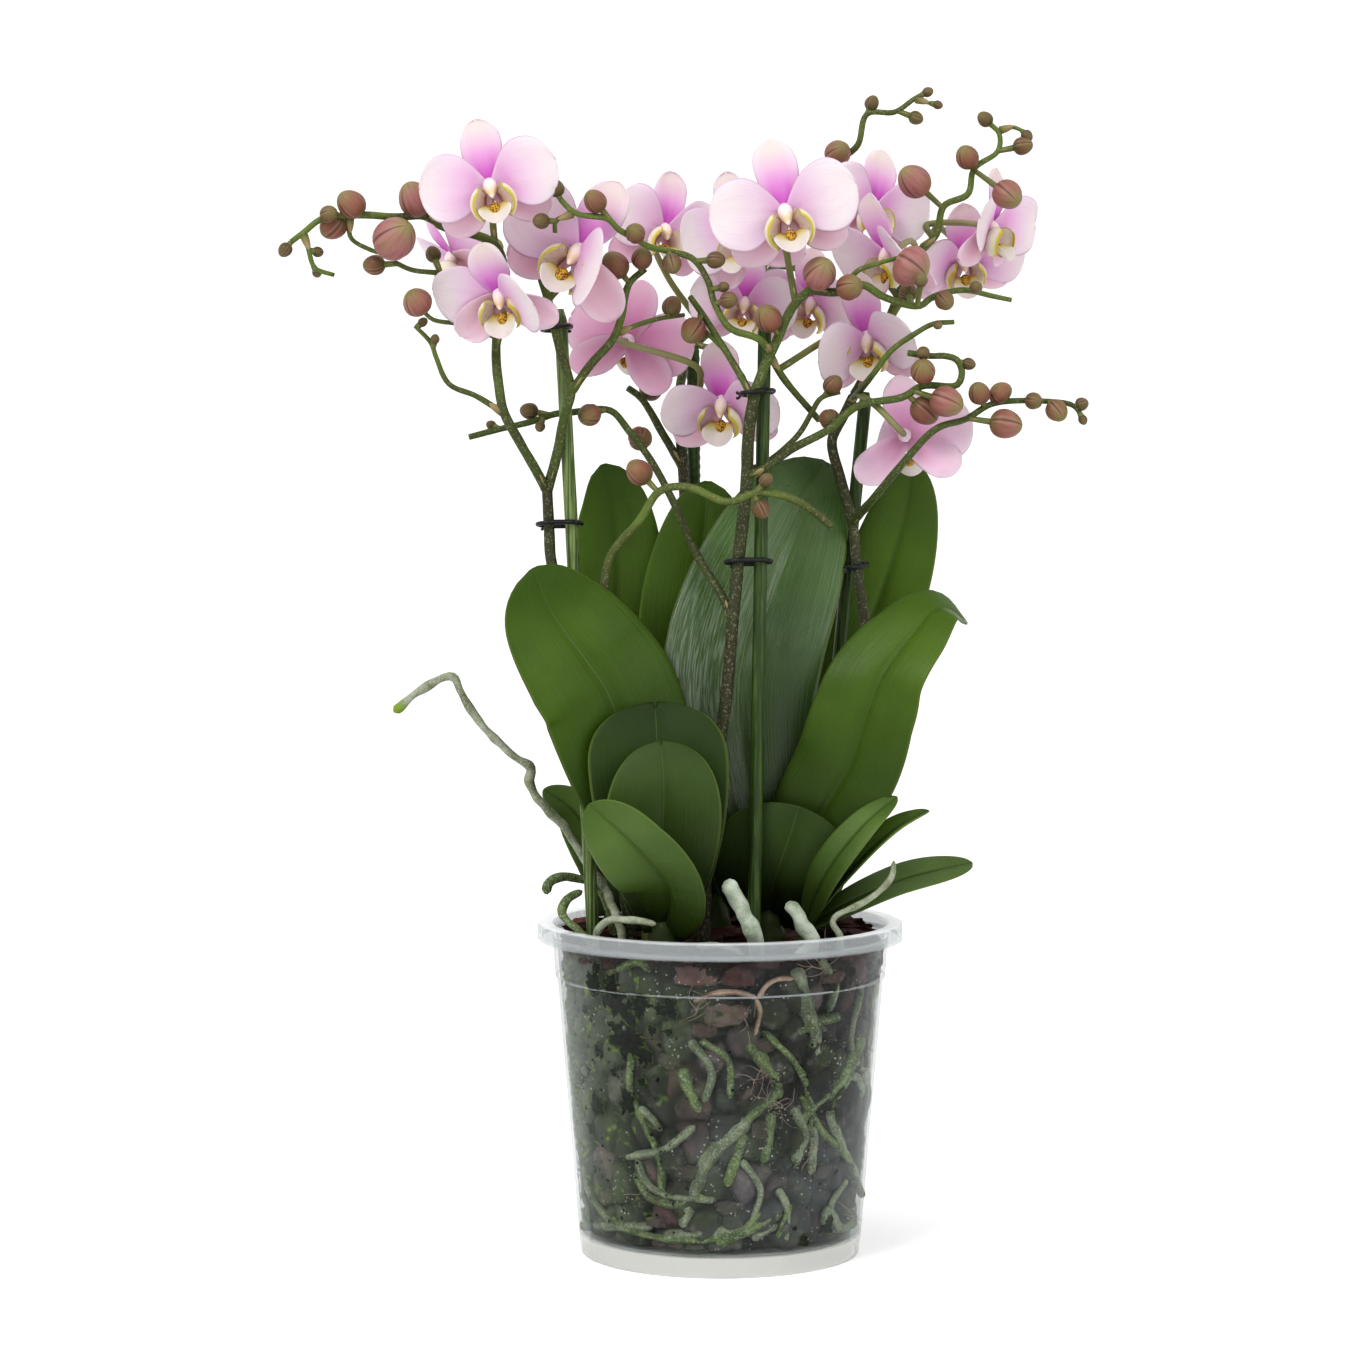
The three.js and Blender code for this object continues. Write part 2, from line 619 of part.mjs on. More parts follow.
const STEMS = {
  left: {
    branches: [
      { width: [2, 1.75], at: [[630, 935, -4], [604, 780, -12.5], [573, 655, -14], [551, 560, -9.5], [549, 524, -8.3], [547, 489, -9]] },
      { width: [1.6, 1.4], at: [[547, 492, -9], [537, 472, -12], [519, 441, -17], [504, 412, -21], [499, 387, -20], [496, 352, -14],
        [500, 300, -10], [503, 262, -12], [493, 243, -18], [468, 233, -26], [444, 227, -30]] },
      { width: [1.4, 0.9], at: [[444, 227, -30], [424, 216, -33], [400, 217, -34], [364, 215, -36], [337, 216, -37], [321, 219, -38],
        [303, 233, -39], [291, 242, -39]] },
      { width: [0.9, 0.7], at: [[303, 233, -39], [308, 247, -39], [312, 263, -38], [316, 269, -37], [334, 275, -35]] },
      { width: [0.8, 0.7], at: [[350, 217, -36], [351, 238, -33], [371, 250, -33], [384, 254, -34]] },
      { width: [1, 0.8], at: [[500, 300, -10], [472, 284, -20], [445, 274, -25], [412, 270, -28], [394, 262, -30]] },
      { width: [0.8, 0.7], at: [[497, 335, -13], [463, 325, -15], [432, 319, -30], [424, 312, -32]] },
      { width: [1, 0.7], at: [[504, 414, -21], [476, 396, -22], [449, 384, -24], [436, 357, -26], [431, 343, -26], [415, 326, -25]] },
      { width: [1.75, 1.3], at: [[547, 492, -9], [558, 450, -10], [565, 414, -12], [571, 391, -13], [560, 350, -12.5],
        [555, 328, -12.8], [548, 300, -14], [538, 262, -14], [540, 232, -16]] },
      { width: [1.5, 1.1], at: [[571, 392, -13], [592, 363, -16], [613, 339, -18], [621, 318, -18], [629, 284, -18], [645, 269, -17]] },
      { width: [0.9, 0.7], at: [[618, 334, -18], [640, 324, -14], [662, 318, -9], [684, 315, -4]] },
    ],
    buds: [
      { at: [285, 250, -39], from: [291, 243, -39], width: 4.4 },
      { at: [415, 199, -35], from: [424, 216, -33], width: 10.6 },
      { at: [395, 238, -40], from: [379, 256, -34], width: 13.4 },
      { at: [351, 204, -38], from: [364, 214, -36], width: 8.8 },
      { at: [333, 226, -34], from: [345, 218, -36], width: 8.6 },
      { at: [329, 214, -41], from: [322, 219, -38], width: 5.6 },
      { at: [318, 252, -37], from: [310, 250, -39], width: 3.4 },
      { at: [317, 273, -35], from: [314, 266, -38], width: 3 },
      { at: [374, 265, -28], from: [392, 270, -27], width: 6.6 },
      { at: [433, 254, -22], from: [436, 272, -20], width: 5 },
      { at: [417, 302, -34], from: [425, 314, -32], width: 9.4 },
      { at: [423, 322, -25], from: [416, 328, -25], width: 3 },
      { at: [435, 339, -28], from: [433, 348, -26], width: 3 },
      { at: [615, 265, -20], from: [629, 283, -18], width: 8.6 },
      { at: [642, 258, -22], from: [640, 272, -17], width: 6.8 },
      { at: [672, 306, -6], from: [668, 317, -8], width: 6.4 },
    ],
  },
  centre: {
    branches: [
      { width: [2.1, 2], at: [[704, 935, -14], [711, 800, -18], [726, 700, -20.5], [733, 618, -21], [738, 563, -21.3], [746, 490, -21.5],
        [749, 430, -21.5], [755, 392, -22]] },
      { width: [1.8, 1.4], at: [[755, 394, -22], [765, 366, -22], [777, 340, -21], [792, 308, -20], [808, 291, -22], [818, 283, -25]] },
      { width: [1.5, 0.8], at: [[810, 290, -22], [838, 292, -26], [863, 285, -27], [884, 297, -26], [919, 306, -24], [933, 297, -22],
        [963, 290, -20], [992, 296, -18], [1011, 300, -16]] },
      { width: [0.9, 0.7], at: [[846, 290, -26], [856, 272, -28], [876, 264, -28], [897, 258, -26]] },
      { width: [1.2, 1], at: [[751, 400, -21.5], [742, 378, -18], [722, 345, -11], [703, 315, -5], [690, 297, -2]] },
      { width: [1.2, 0.9], at: [[772, 352, -22], [757, 338, -30], [730, 328, -28], [714, 302, -24], [708, 281, -22], [693, 259, -21],
        [668, 251, -24], [650, 247, -28], [636, 239, -34], [618, 229, -40], [608, 219, -42], [575, 213, -43], [560, 199, -44]] },
      { width: [0.9, 0.7], at: [[574, 214, -43], [556, 221, -43], [555, 233, -43]] },
      { width: [0.9, 0.7], at: [[744, 381, -18], [726, 352, -12], [700, 324, -6], [700, 312, -4]] },
      { width: [1.2, 1], at: [[771, 356, -21.5], [784, 379, -16], [804, 403, -10], [819, 420, -6]] },
      { width: [1.4, 1], at: [[747, 477, -21.5], [763, 469, -24], [792, 449, -24], [828, 430, -22], [858, 406, -20], [903, 397, -20],
        [922, 386, -20], [957, 385, -20], [962, 372, -20], [957, 360, -20], [945, 356, -20], [930, 356, -21], [908, 353, -22]] },
      { width: [1.1, 0.8], at: [[748, 470, -21.5], [754, 468, -14], [766, 463, -11.5], [798, 435, -10.5], [812, 412, -10], [821, 398, -11], [840, 392, -12]] },
      { width: [1.4, 1], at: [[733, 622, -21], [723, 598, -17], [697, 555, -9], [671, 497, -3], [650, 459, 0], [629, 431, 2],
        [613, 412, 3], [600, 409, 3], [575, 412, 4], [555, 414, 3], [534, 421, 2], [500, 429, 0], [469, 437, -2]] },
    ],
    buds: [
      { at: [820, 273, -30], from: [812, 288, -23], width: 10.6 },
      { at: [850, 287, -32], from: [838, 292, -26], width: 8.4 },
      { at: [912, 267, -28], from: [897, 258, -26], width: 13.6 },
      { at: [921, 280, -38], from: [918, 304, -25], width: 4.4 },
      { at: [908, 292, -16], from: [912, 304, -24], width: 6 },
      { at: [945, 301, -26], from: [940, 295, -22], width: 6.2 },
      { at: [976, 287, -24], from: [972, 291, -20], width: 4.2 },
      { at: [595, 201, -44], from: [612, 220, -41], width: 7 },
      { at: [556, 188, -44], from: [560, 199, -44], width: 5.2 },
      { at: [541, 221, -46], from: [556, 221, -43], width: 5 },
      { at: [635, 233, -38], from: [640, 242, -32], width: 6.4 },
      { at: [672, 264, -27], from: [668, 252, -24], width: 6.2 },
      { at: [716, 260, -24], from: [696, 260, -20], width: 5.6 },
      { at: [724, 287, -26], from: [711, 290, -22], width: 3.4 },
      { at: [729, 300, -30], from: [715, 304, -24], width: 5.6 },
      { at: [693, 331, -10], from: [702, 315, -5], width: 8.2 },
      { at: [768, 318, -26], from: [779, 336, -21], width: 8.6 },
      { at: [833, 385, -12], from: [824, 396, -11], width: 6.2 },
      { at: [829, 419, -16], from: [838, 423, -21], width: 6.8 },
      { at: [923, 353, -25], from: [928, 357, -21], width: 4.4 },
      { at: [969, 364, -20], from: [958, 362, -20], width: 4 },
      { at: [923, 371, -26], from: [924, 386, -20], width: 8 },
      { at: [947, 402, -26], from: [920, 400, -20], width: 10 },
      { at: [925, 411, -18], from: [908, 396, -20], width: 9 },
      { at: [529, 411, 4], from: [550, 411, 3], width: 5.6 },
      { at: [491, 425, 2], from: [500, 429, 0], width: 3.2 },
      { at: [540, 427, -2], from: [544, 419, 2], width: 3.4 },
      { at: [589, 415, -4], from: [606, 410, 3], width: 7.4 },
      { at: [640, 438, 9], from: [640, 446, 1], width: 8 },
    ],
  },
  right: {
    branches: [
      { width: [1.9, 1.7], at: [[830, 935, 4], [850, 800, 2], [866, 700, 3], [866, 640, 5], [857, 565, 7.2], [852, 521, 7], [841, 480, 6],
        [832, 441, 5], [843, 417, 6], [853, 397, 8.5]] },
      { width: [1.2, 0.8], at: [[852, 402, 8], [862, 388, -6], [874, 373, -18], [892, 350, -22], [913, 335, -24], [933, 324, -24], [954, 322, -23]] },
      { width: [1.5, 0.8], at: [[854, 522, 7], [874, 498, -12], [898, 469, -20], [936, 429, -24], [966, 419, -19], [992, 404, -17],
        [1042, 401, -14], [1074, 406, -14], [1083, 419, -14]] },
      { width: [1.4, 1.3], at: [[853, 397, 8.5], [871, 360, 15], [886, 325, 19], [898, 295, 20], [912, 262, 20], [922, 248, 19]] },
      { width: [1.3, 0.8], at: [[921, 250, 19], [936, 235, 18], [944, 206, 16], [968, 194, 15], [974, 169, 15], [998, 151, 15], [999, 133, 15], [990, 124, 15]] },
      { width: [0.8, 0.6], at: [[998, 131, 15], [1012, 127, 15], [1027, 133, 14]] },
    ],
    buds: [
      { at: [914, 181, 10], from: [939, 206, 16], width: 10.6 },
      { at: [967, 157, 12], from: [975, 170, 15], width: 7.6 },
      { at: [1008, 195, 0], from: [974, 170, 15], width: 9.6 },
      { at: [985, 119, 15], from: [992, 126, 15], width: 5 },
      { at: [1027, 136, 14], from: [1022, 130, 14], width: 3.8 },
      { at: [1023, 146, 13], from: [998, 151, 15], width: 6 },
      { at: [1006, 424, -19], from: [968, 419, -19], width: 9.6 },
      { at: [979, 393, -21], from: [985, 407, -18], width: 7 },
      { at: [1000, 393, -16], from: [1006, 403, -14], width: 8.2 },
      { at: [1034, 401, -18], from: [1026, 401, -14], width: 5.6 },
      { at: [1057, 411, -17], from: [1048, 402, -14], width: 7 },
      { at: [1082, 404, -14], from: [1075, 406, -14], width: 4.4 },
      { at: [1083, 420, -14], from: [1080, 412, -14], width: 3 },
      { at: [938, 325, -27], from: [934, 324, -24], width: 3 },
    ],
  },
  back: {
    branches: [
      { width: [2, 1.8], at: [[676, 930, 24], [680, 800, 25], [685, 650, 25], [686, 540, 24.5], [683, 468, 23], [679, 420, 27]] },
      { width: [1.6, 1.2], at: [[679, 420, 27], [682, 376, 38], [700, 340, 50], [728, 320, 56], [760, 285, 60], [796, 230, 58],
        [815, 190, 50], [828, 165, 40]] },
      { width: [1.2, 0.8], at: [[828, 165, 36], [857, 146, 34], [867, 114, 33], [895, 112, 32], [914, 99, 32], [927, 92, 32]] },
      { width: [0.8, 0.6], at: [[914, 99, 32], [937, 105, 31]] },
      { width: [1.5, 1.1], at: [[683, 468, 23], [663, 434, 23], [641, 398, 22], [628, 388, 20]] },
    ],
    buds: [
      { at: [838, 153, 32], from: [822, 160, 37], width: 8.8 },
      { at: [872, 103, 33], from: [867, 114, 33], width: 4.8 },
      { at: [916, 118, 33], from: [898, 112, 32], width: 4.6 },
      { at: [928, 92, 32], from: [920, 95, 32], width: 3.4 },
      { at: [938, 105, 31], from: [930, 103, 31], width: 3 },
      { at: [652, 388, 25], from: [641, 400, 22], width: 8 },
    ],
  },
  young: {
    branches: [
      { width: [1.6, 1.2], at: [[646, 935, -4], [622, 760, -8], [606, 640, -12], [609, 560, -16], [640, 520, -22], [660, 491, -26],
        [688, 487, -29], [728, 502, -32], [760, 492, -34], [792, 499, -32], [813, 511, -28], [831, 526, -25]] },
    ],
    buds: [
      { at: [639, 472, -24], from: [658, 492, -26], width: 8.2 },
      { at: [766, 480, -36], from: [756, 493, -34], width: 4.4 },
      { at: [761, 509, -33], from: [754, 495, -34], width: 6 },
    ],
  },
};

// The straight pieces that a rod's middle line is made of.
function course(points, steps) {
  const curve = new THREE.CatmullRomCurve3(points, false, "centripetal");
  const ends = Array.from({ length: steps + 1 }, (_, i) => curve.getPointAt(i / steps));
  return ends.slice(1).map((end, i) => new THREE.Line3(ends[i], end));
}

function nearestOn(lines, point) {
  const candidates = lines.map((line) => line.closestPointToPoint(point, true, new THREE.Vector3()));
  candidates.sort((a, b) => a.distanceTo(point) - b.distanceTo(point));
  return candidates[0];
}

// A stem's branches as points, the first from down in the bark and each other
// one from the nearest point of those before it, and the straight pieces of
// them all.
function branchLines({ branches }) {
  const routes = [];
  const lines = [];
  branches.forEach(({ at }) => {
    const points = at.map(seen);
    if (lines.length) points[0] = nearestOn(lines, points[0]);
    else points.unshift(points[0].clone().setZ(BARK_LEVEL - STEM_DEPTH));
    routes.push(points);
    lines.push(...course(points, points.length - 1));
  });
  return { routes, lines };
}

// A bud and its stalk in one: the stalk's two rings, then the egg's.
function makeBud({ at, from, width }, lines) {
  const middle = seen(at);
  const start = nearestOn(lines, seen(from));
  const reach = middle.distanceTo(start);
  const pole = middle.clone().sub(start).normalize();
  const half = Math.min(width * 0.56, reach - 0.3);
  const rings = width > BIG_BUD ? [-0.8, -0.1, 0.75] : [-0.6, 0.6];
  const radii = rings.map((h) => (width / 2) * Math.sqrt(1 - h * h) * (1 - 0.1 * h));
  const centres = rings.map((h) => middle.clone().addScaledVector(pole, h * half));
  const all = [start, ...centres];
  return loft(all, all.map(() => pole), [BUD_STALK, ...radii], width > BIG_BUD ? 5 : 4);
}

// A bloom's stalk leaves the stem, swings in behind the bloom and ends just
// short of its back.
function makeStalk(bloom, lines) {
  const frame = bloomFrame(bloom);
  const back = (y, z) => new THREE.Vector3(0, y, z).multiplyScalar(bloom.size).applyMatrix4(frame);
  const start = nearestOn(lines, seen(bloom.stalk));
  const end = back(0, -COLUMN_BACK - GAP);
  const before = back(-1, -COLUMN_BACK - STALK_BEND);
  const behind = start.clone().lerp(before, 0.55).add(back(0, -STALK_BEND)).sub(back(0, 0));
  const route = bloom.via ? bloom.via.map(seen) : [behind];
  return rod([start, ...route, before, end], [1.15, 1.05], { sides: 3, steps: route.length + 2 });
}

function branchRod(points, width, grow = 0) {
  const sides = width[0] > THIN_BRANCH ? 5 : 4;
  return rod(points, width, { sides, steps: points.length - 1, grow });
}

function makeStem(name, stem) {
  const { routes, lines } = branchLines(stem);
  const rods = routes.map((points, i) => branchRod(points, stem.branches[i].width));
  const buds = stem.buds.map((bud) => makeBud(bud, lines));
  const stalks = BLOOMS.filter(({ on }) => on === name).map((bloom) => makeStalk(bloom, lines));
  return join([...rods, ...buds, ...stalks]);
}

// The cutter for the hole that a stem stands in.
function stemHole(stem) {
  return branchRod(branchLines(stem).routes[0], stem.branches[0].width, GAP);
}

// ---- Roots ---------------------------------------------------------------------------
// Free roots are picture points with depth. Roots inside the pot lie against
// the wall, as [column, row] on its front.

function onWall([column, row]) {
  const point = seen([column, row, -45]);
  for (let i = 0; i < 3; i += 1) {
    const radius = wallRadius(point.z) - WALL - ROOT_INSET;
    const x = THREE.MathUtils.clamp(point.x, -radius * 0.98, radius * 0.98);
    point.copy(seen([column, row, -Math.sqrt(radius * radius - x * x)]));
  }
  return point;
}

const ROOTS = {
  left: {
    hub: [614, 1006, -14],
    free: [
      { width: [1.5, 1.4], at: [[614, 1006, -14], [622, 938, -20], [612, 905, -10], [600, 880, 0], [580, 853, 1], [564, 826, -1], [546, 808, -4],
        [529, 782, -6], [531, 768, -8], [516, 757, -10], [493, 737, -12], [466, 703, -13], [452, 677, -13], [420, 691, -12], [394, 712, -11]] },
      { width: [1.4, 1.2], at: [[614, 1006, -14], [588, 940, -24], [562, 914, -22], [567, 900, -20], [582, 891, -16]] },
      { width: [1.4, 1.2], at: [[614, 1006, -14], [596, 935, -30], [609, 921, -32], [632, 920, -36], [656, 924, -40]] },
      { width: [1.3, 1.5], at: [[614, 1006, -14], [616, 950, 0], [606, 900, 4], [593, 883, 2], [577, 878, -2],
        [559, 877, -6], [549, 883, -8], [546, 894, -9]] },
    ],
    wall: [
      { width: [1.6, 1.4], at: [[632, 1050], [630, 1090], [646, 1126], [660, 1160], [663, 1200]] },
    ],
  },
  front: {
    hub: [726, 1006, -31],
    free: [
      { width: [1.9, 2], at: [[726, 1006, -31], [757, 955, -38], [752, 932, -42], [740, 905, -43], [727, 880, -43]] },
      { width: [1.8, 1.9], at: [[726, 1006, -31], [790, 965, -36], [812, 944, -37], [800, 920, -38], [788, 902, -38]] },
      { width: [1.3, 1.1], at: [[726, 1006, -31], [742, 958, -44], [722, 946, -48], [697, 946, -47]] },
    ],
    wall: [
      { width: [1.9, 1.5], at: [[752, 1050], [777, 1086], [744, 1123], [714, 1155], [697, 1187], [682, 1226]] },
      { width: [1.4, 1.2], at: [[772, 1040], [800, 1072], [810, 1123], [794, 1166]] },
    ],
  },
  right: {
    hub: [836, 1006, -12],
    free: [
      { width: [1.2, 1], at: [[836, 1006, -12], [840, 938, -30], [833, 920, -31], [866, 901, -31], [891, 878, -30], [894, 861, -29]] },
    ],
    wall: [
      { width: [1.6, 1.3], at: [[856, 1040], [850, 1073], [832, 1106], [836, 1150]] },
    ],
  },
};

function rootRods({ hub, free, wall }, grow = 0) {
  const heart = seen(hub);
  const parts = [egg(heart, new THREE.Vector3(0.2, 0.1, 1), 4.5 + grow, 4 + grow, 5, 2)];
  free.forEach(({ width, at }) => {
    const steps = at.length;
    parts.push(rod(at.map(seen), width, { sides: 4, steps, grow }));
  });
  wall.forEach(({ width, at }) => {
    const points = [heart, ...at.map(onWall)];
    parts.push(rod(points, width, { sides: 4, steps: at.length + 2, grow }));
  });
  return parts;
}

// ---- Bark ------------------------------------------------------------------------------

// A seeded draw from 0 to 1, the same on every run.
function drawer(seed) {
  let state = seed;
  return () => {
    state = (state * 1103515245 + 12345) % 2147483648;
    return state / 2147483648;
  };
}

function makeBark() {
  const inset = WALL + BARK_INSET;
  const level = BARK_LEVEL;
  const profile = [
    [0, FOOT_HEIGHT + GAP],
    [wallRadius(FOOT_HEIGHT) - inset - 0.2, FOOT_HEIGHT + GAP],
    [wallRadius(STEP_HEIGHT - 1) - inset, STEP_HEIGHT - 1],
    [wallRadius(STEP_HEIGHT - 1) - inset, level],
    [34, level + 1.5],
    [0, level + 1],
  ];
  const heap = new THREE.LatheGeometry(
    profile.map(([r, z]) => new THREE.Vector2(r, z)),
    20,
  );
  heap.rotateX(Math.PI / 2);
  let bark = solidOf(heap);
  const draw = drawer(41);
  for (let i = 0; i < BARK_CHIPS; i += 1) {
    const size = CHIP_SIZE * (0.7 + 0.6 * draw());
    const chip = new THREE.BoxGeometry(size, size * 0.6, size * 0.42);
    chip.rotateX(0.7 * (draw() - 0.5));
    chip.rotateY(0.8 * (draw() - 0.5));
    chip.rotateZ(2 * Math.PI * draw());
    const out = 44 * Math.sqrt(0.12 + 0.88 * ((i + 0.5) / BARK_CHIPS));
    const turn = i * 2.4;
    chip.translate(out * Math.cos(turn), out * Math.sin(turn), level + 1 + 1.4 * draw());
    bark = bark.add(solidOf(chip));
  }
  return bark;
}

// ---- The whole plant ------------------------------------------------------------------

const COLOUR = {
  pot: "#cdd2cf",
  bark: "#3a241b",
  cane: "#2f5a26",
  tie: "#17181a",
  leaf: "#3f6d24",
  stem: "#4c6030",
  root: "#8c9c86",
  bloom: "#ecd3ea",
  lip: "#f3ead8",
};

const orchid = new THREE.Group();
orchid.name = "potted_orchid";

const holes = [
  ...Object.keys(CANES).map((name) => makeCane(name, GAP)),
  ...Object.values(LEAVES).map((plant) => makeCrown(plant, GAP)),
  ...Object.values(STEMS).map((stem) => stemHole(stem)),
  ...Object.values(ROOTS).flatMap((roots) => rootRods(roots, 2 * GAP)),
];
const bark = mainBody(holes.reduce((left, hole) => left.subtract(hole), makeBark()));

orchid.add(meshOf("pot", makePot(), COLOUR.pot, 0.15));
orchid.add(meshOf("bark", bark, COLOUR.bark, 0.95));
Object.keys(CANES).forEach((name) => {
  orchid.add(meshOf(`cane_${name}`, makeCane(name), COLOUR.cane));
});
Object.entries(TIES).forEach(([name, tie]) => {
  orchid.add(meshOf(`tie_${name}`, makeTie(tie), COLOUR.tie));
});
Object.entries(LEAVES).forEach(([name, plant]) => {
  orchid.add(meshOf(`leaves_${name}`, makePlant(plant), COLOUR.leaf, 0.4));
});
Object.entries(STEMS).forEach(([name, stem]) => {
  orchid.add(meshOf(`stem_${name}`, makeStem(name, stem), COLOUR.stem));
});
Object.entries(ROOTS).forEach(([name, roots]) => {
  orchid.add(meshOf(`roots_${name}`, join(rootRods(roots)), COLOUR.root, 0.8));
});
BLOOMS.forEach((bloom, i) => {
  const number = String(i + 1).padStart(2, "0");
  orchid.add(meshOf(`bloom_${number}`, makeBloom(bloom), COLOUR.bloom, 0.5));
  orchid.add(meshOf(`lip_${number}`, makeLip(bloom), COLOUR.lip, 0.5));
});

const box = new THREE.Box3().setFromObject(orchid);
const centre = box.getCenter(new THREE.Vector3());
orchid.position.set(-centre.x, -centre.y, -box.min.z);

export default orchid;
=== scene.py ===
"""A potted moth orchid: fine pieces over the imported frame, their materials,
soft studio light and the camera. Shapes are laid out in millimetres round the
pot's axis and written to the meshes in metres in the frame's axes."""

import math
import random

import bmesh
import bpy
from mathutils import Matrix, Vector, noise


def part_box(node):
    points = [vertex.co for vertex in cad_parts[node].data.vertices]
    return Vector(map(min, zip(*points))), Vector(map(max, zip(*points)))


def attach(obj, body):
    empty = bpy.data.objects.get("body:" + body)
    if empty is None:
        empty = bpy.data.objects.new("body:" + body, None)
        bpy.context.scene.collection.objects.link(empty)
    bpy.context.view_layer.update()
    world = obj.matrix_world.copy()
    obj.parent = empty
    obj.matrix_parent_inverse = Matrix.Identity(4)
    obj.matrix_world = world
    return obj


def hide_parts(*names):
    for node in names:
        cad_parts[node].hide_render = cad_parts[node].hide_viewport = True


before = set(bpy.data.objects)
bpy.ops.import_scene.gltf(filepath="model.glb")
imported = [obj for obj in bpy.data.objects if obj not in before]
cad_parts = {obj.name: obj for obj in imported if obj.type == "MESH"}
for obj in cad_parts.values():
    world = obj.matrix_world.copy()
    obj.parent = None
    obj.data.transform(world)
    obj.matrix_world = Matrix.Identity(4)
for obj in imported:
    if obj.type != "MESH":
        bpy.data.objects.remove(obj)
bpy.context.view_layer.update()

MM = 0.001
pot_low, pot_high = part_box("pot")
AXIS = Vector(((pot_low[0] + pot_high[0]) / 2, (pot_low[1] + pot_high[1]) / 2, 0))

# ---- Driving dimensions, as in the solids ----

GAP = 0.35
POT_HEIGHT = 109.5
RIM_RADIUS = 60
RIM_BAND = 5.6
WALL = 0.9
FOOT_RADIUS = 45.9
FOOT_HEIGHT = 7
FOOT_TOP_RADIUS = 46.7
FLOOR_UNDER = 5.8
DRAINS = 6
DRAIN_RADIUS = 3.2
DRAIN_OUT = 30
STEP_HEIGHT = 91.2
STEP_RADIUS = 53.7
STEP_OUT = 0.7
NECK_RADIUS = 55.3
BARK_LEVEL = 99
CANE_RADIUS = 2.15
CANE_FOOT = 16
TIE_RADIUS = 0.8
LEAF_THICK = 1.3
TEPAL_THICK = 0.7
LIP_THICK = 0.6
SEPAL_LENGTH = 21.2
SEPAL_HALF = 6.9
PETAL_LENGTH = 22.8
PETAL_HALF = 11.8
COLUMN_BACK = 3.4
STALK_BEND = 8
HEART = 11
CROWN_TOP = 17
CROWN_FOOT = 12
STEM_DEPTH = 8

# The camera: its place in millimetres, and the picture's measures in pixels.
EYE = Vector((-12.3, -1267, 270))
LOOK_DOWN = math.radians(3.7)
FOCAL = 3863
MIDDLE = 683
PICTURE = 1366

# What a point's tone is where its material reads none.
PLAIN = (0, 0, 0, 0)

# The one bloom of a deeper pink, seen from behind.
DEEP_BLOOM = 6

# The seed of the random numbers, and how much is laid with them.
SEED = 31
FLAT_CHIPS = 190
HEAPED_CHIPS = 80
CHIP_SPREAD = 49.5
CHIP_LIMIT = 52.5
HIDDEN_ROOTS = 46
ALGAE_SPOTS = 330

# Canes: foot and top, as picture column, picture row and depth.
CANES = {
    "left": ((593, 930, -8), (560, 309, -6)),
    "centre": ((754, 930, -27), (765, 316, -15)),
    "back": ((697, 900, 34), (693, 347, 26)),
    "right": ((811, 930, 14.5), (866, 392, 12.5)),
}

# Ties: the cane, the picture row, the stem's middle there and the loop's reach round it.
TIES = {
    "left_low": ("left", 524, (549, 524, -8.6), 3.7),
    "left_top": ("left", 328, (555, 328, -12.5), 4.2),
    "centre_low": ("centre", 563, (738, 563, -21), 4),
    "centre_top": ("centre", 392, (754, 392, -21.5), 4.2),
    "right_low": ("right", 565, (857, 565, 7.4), 3.4),
}

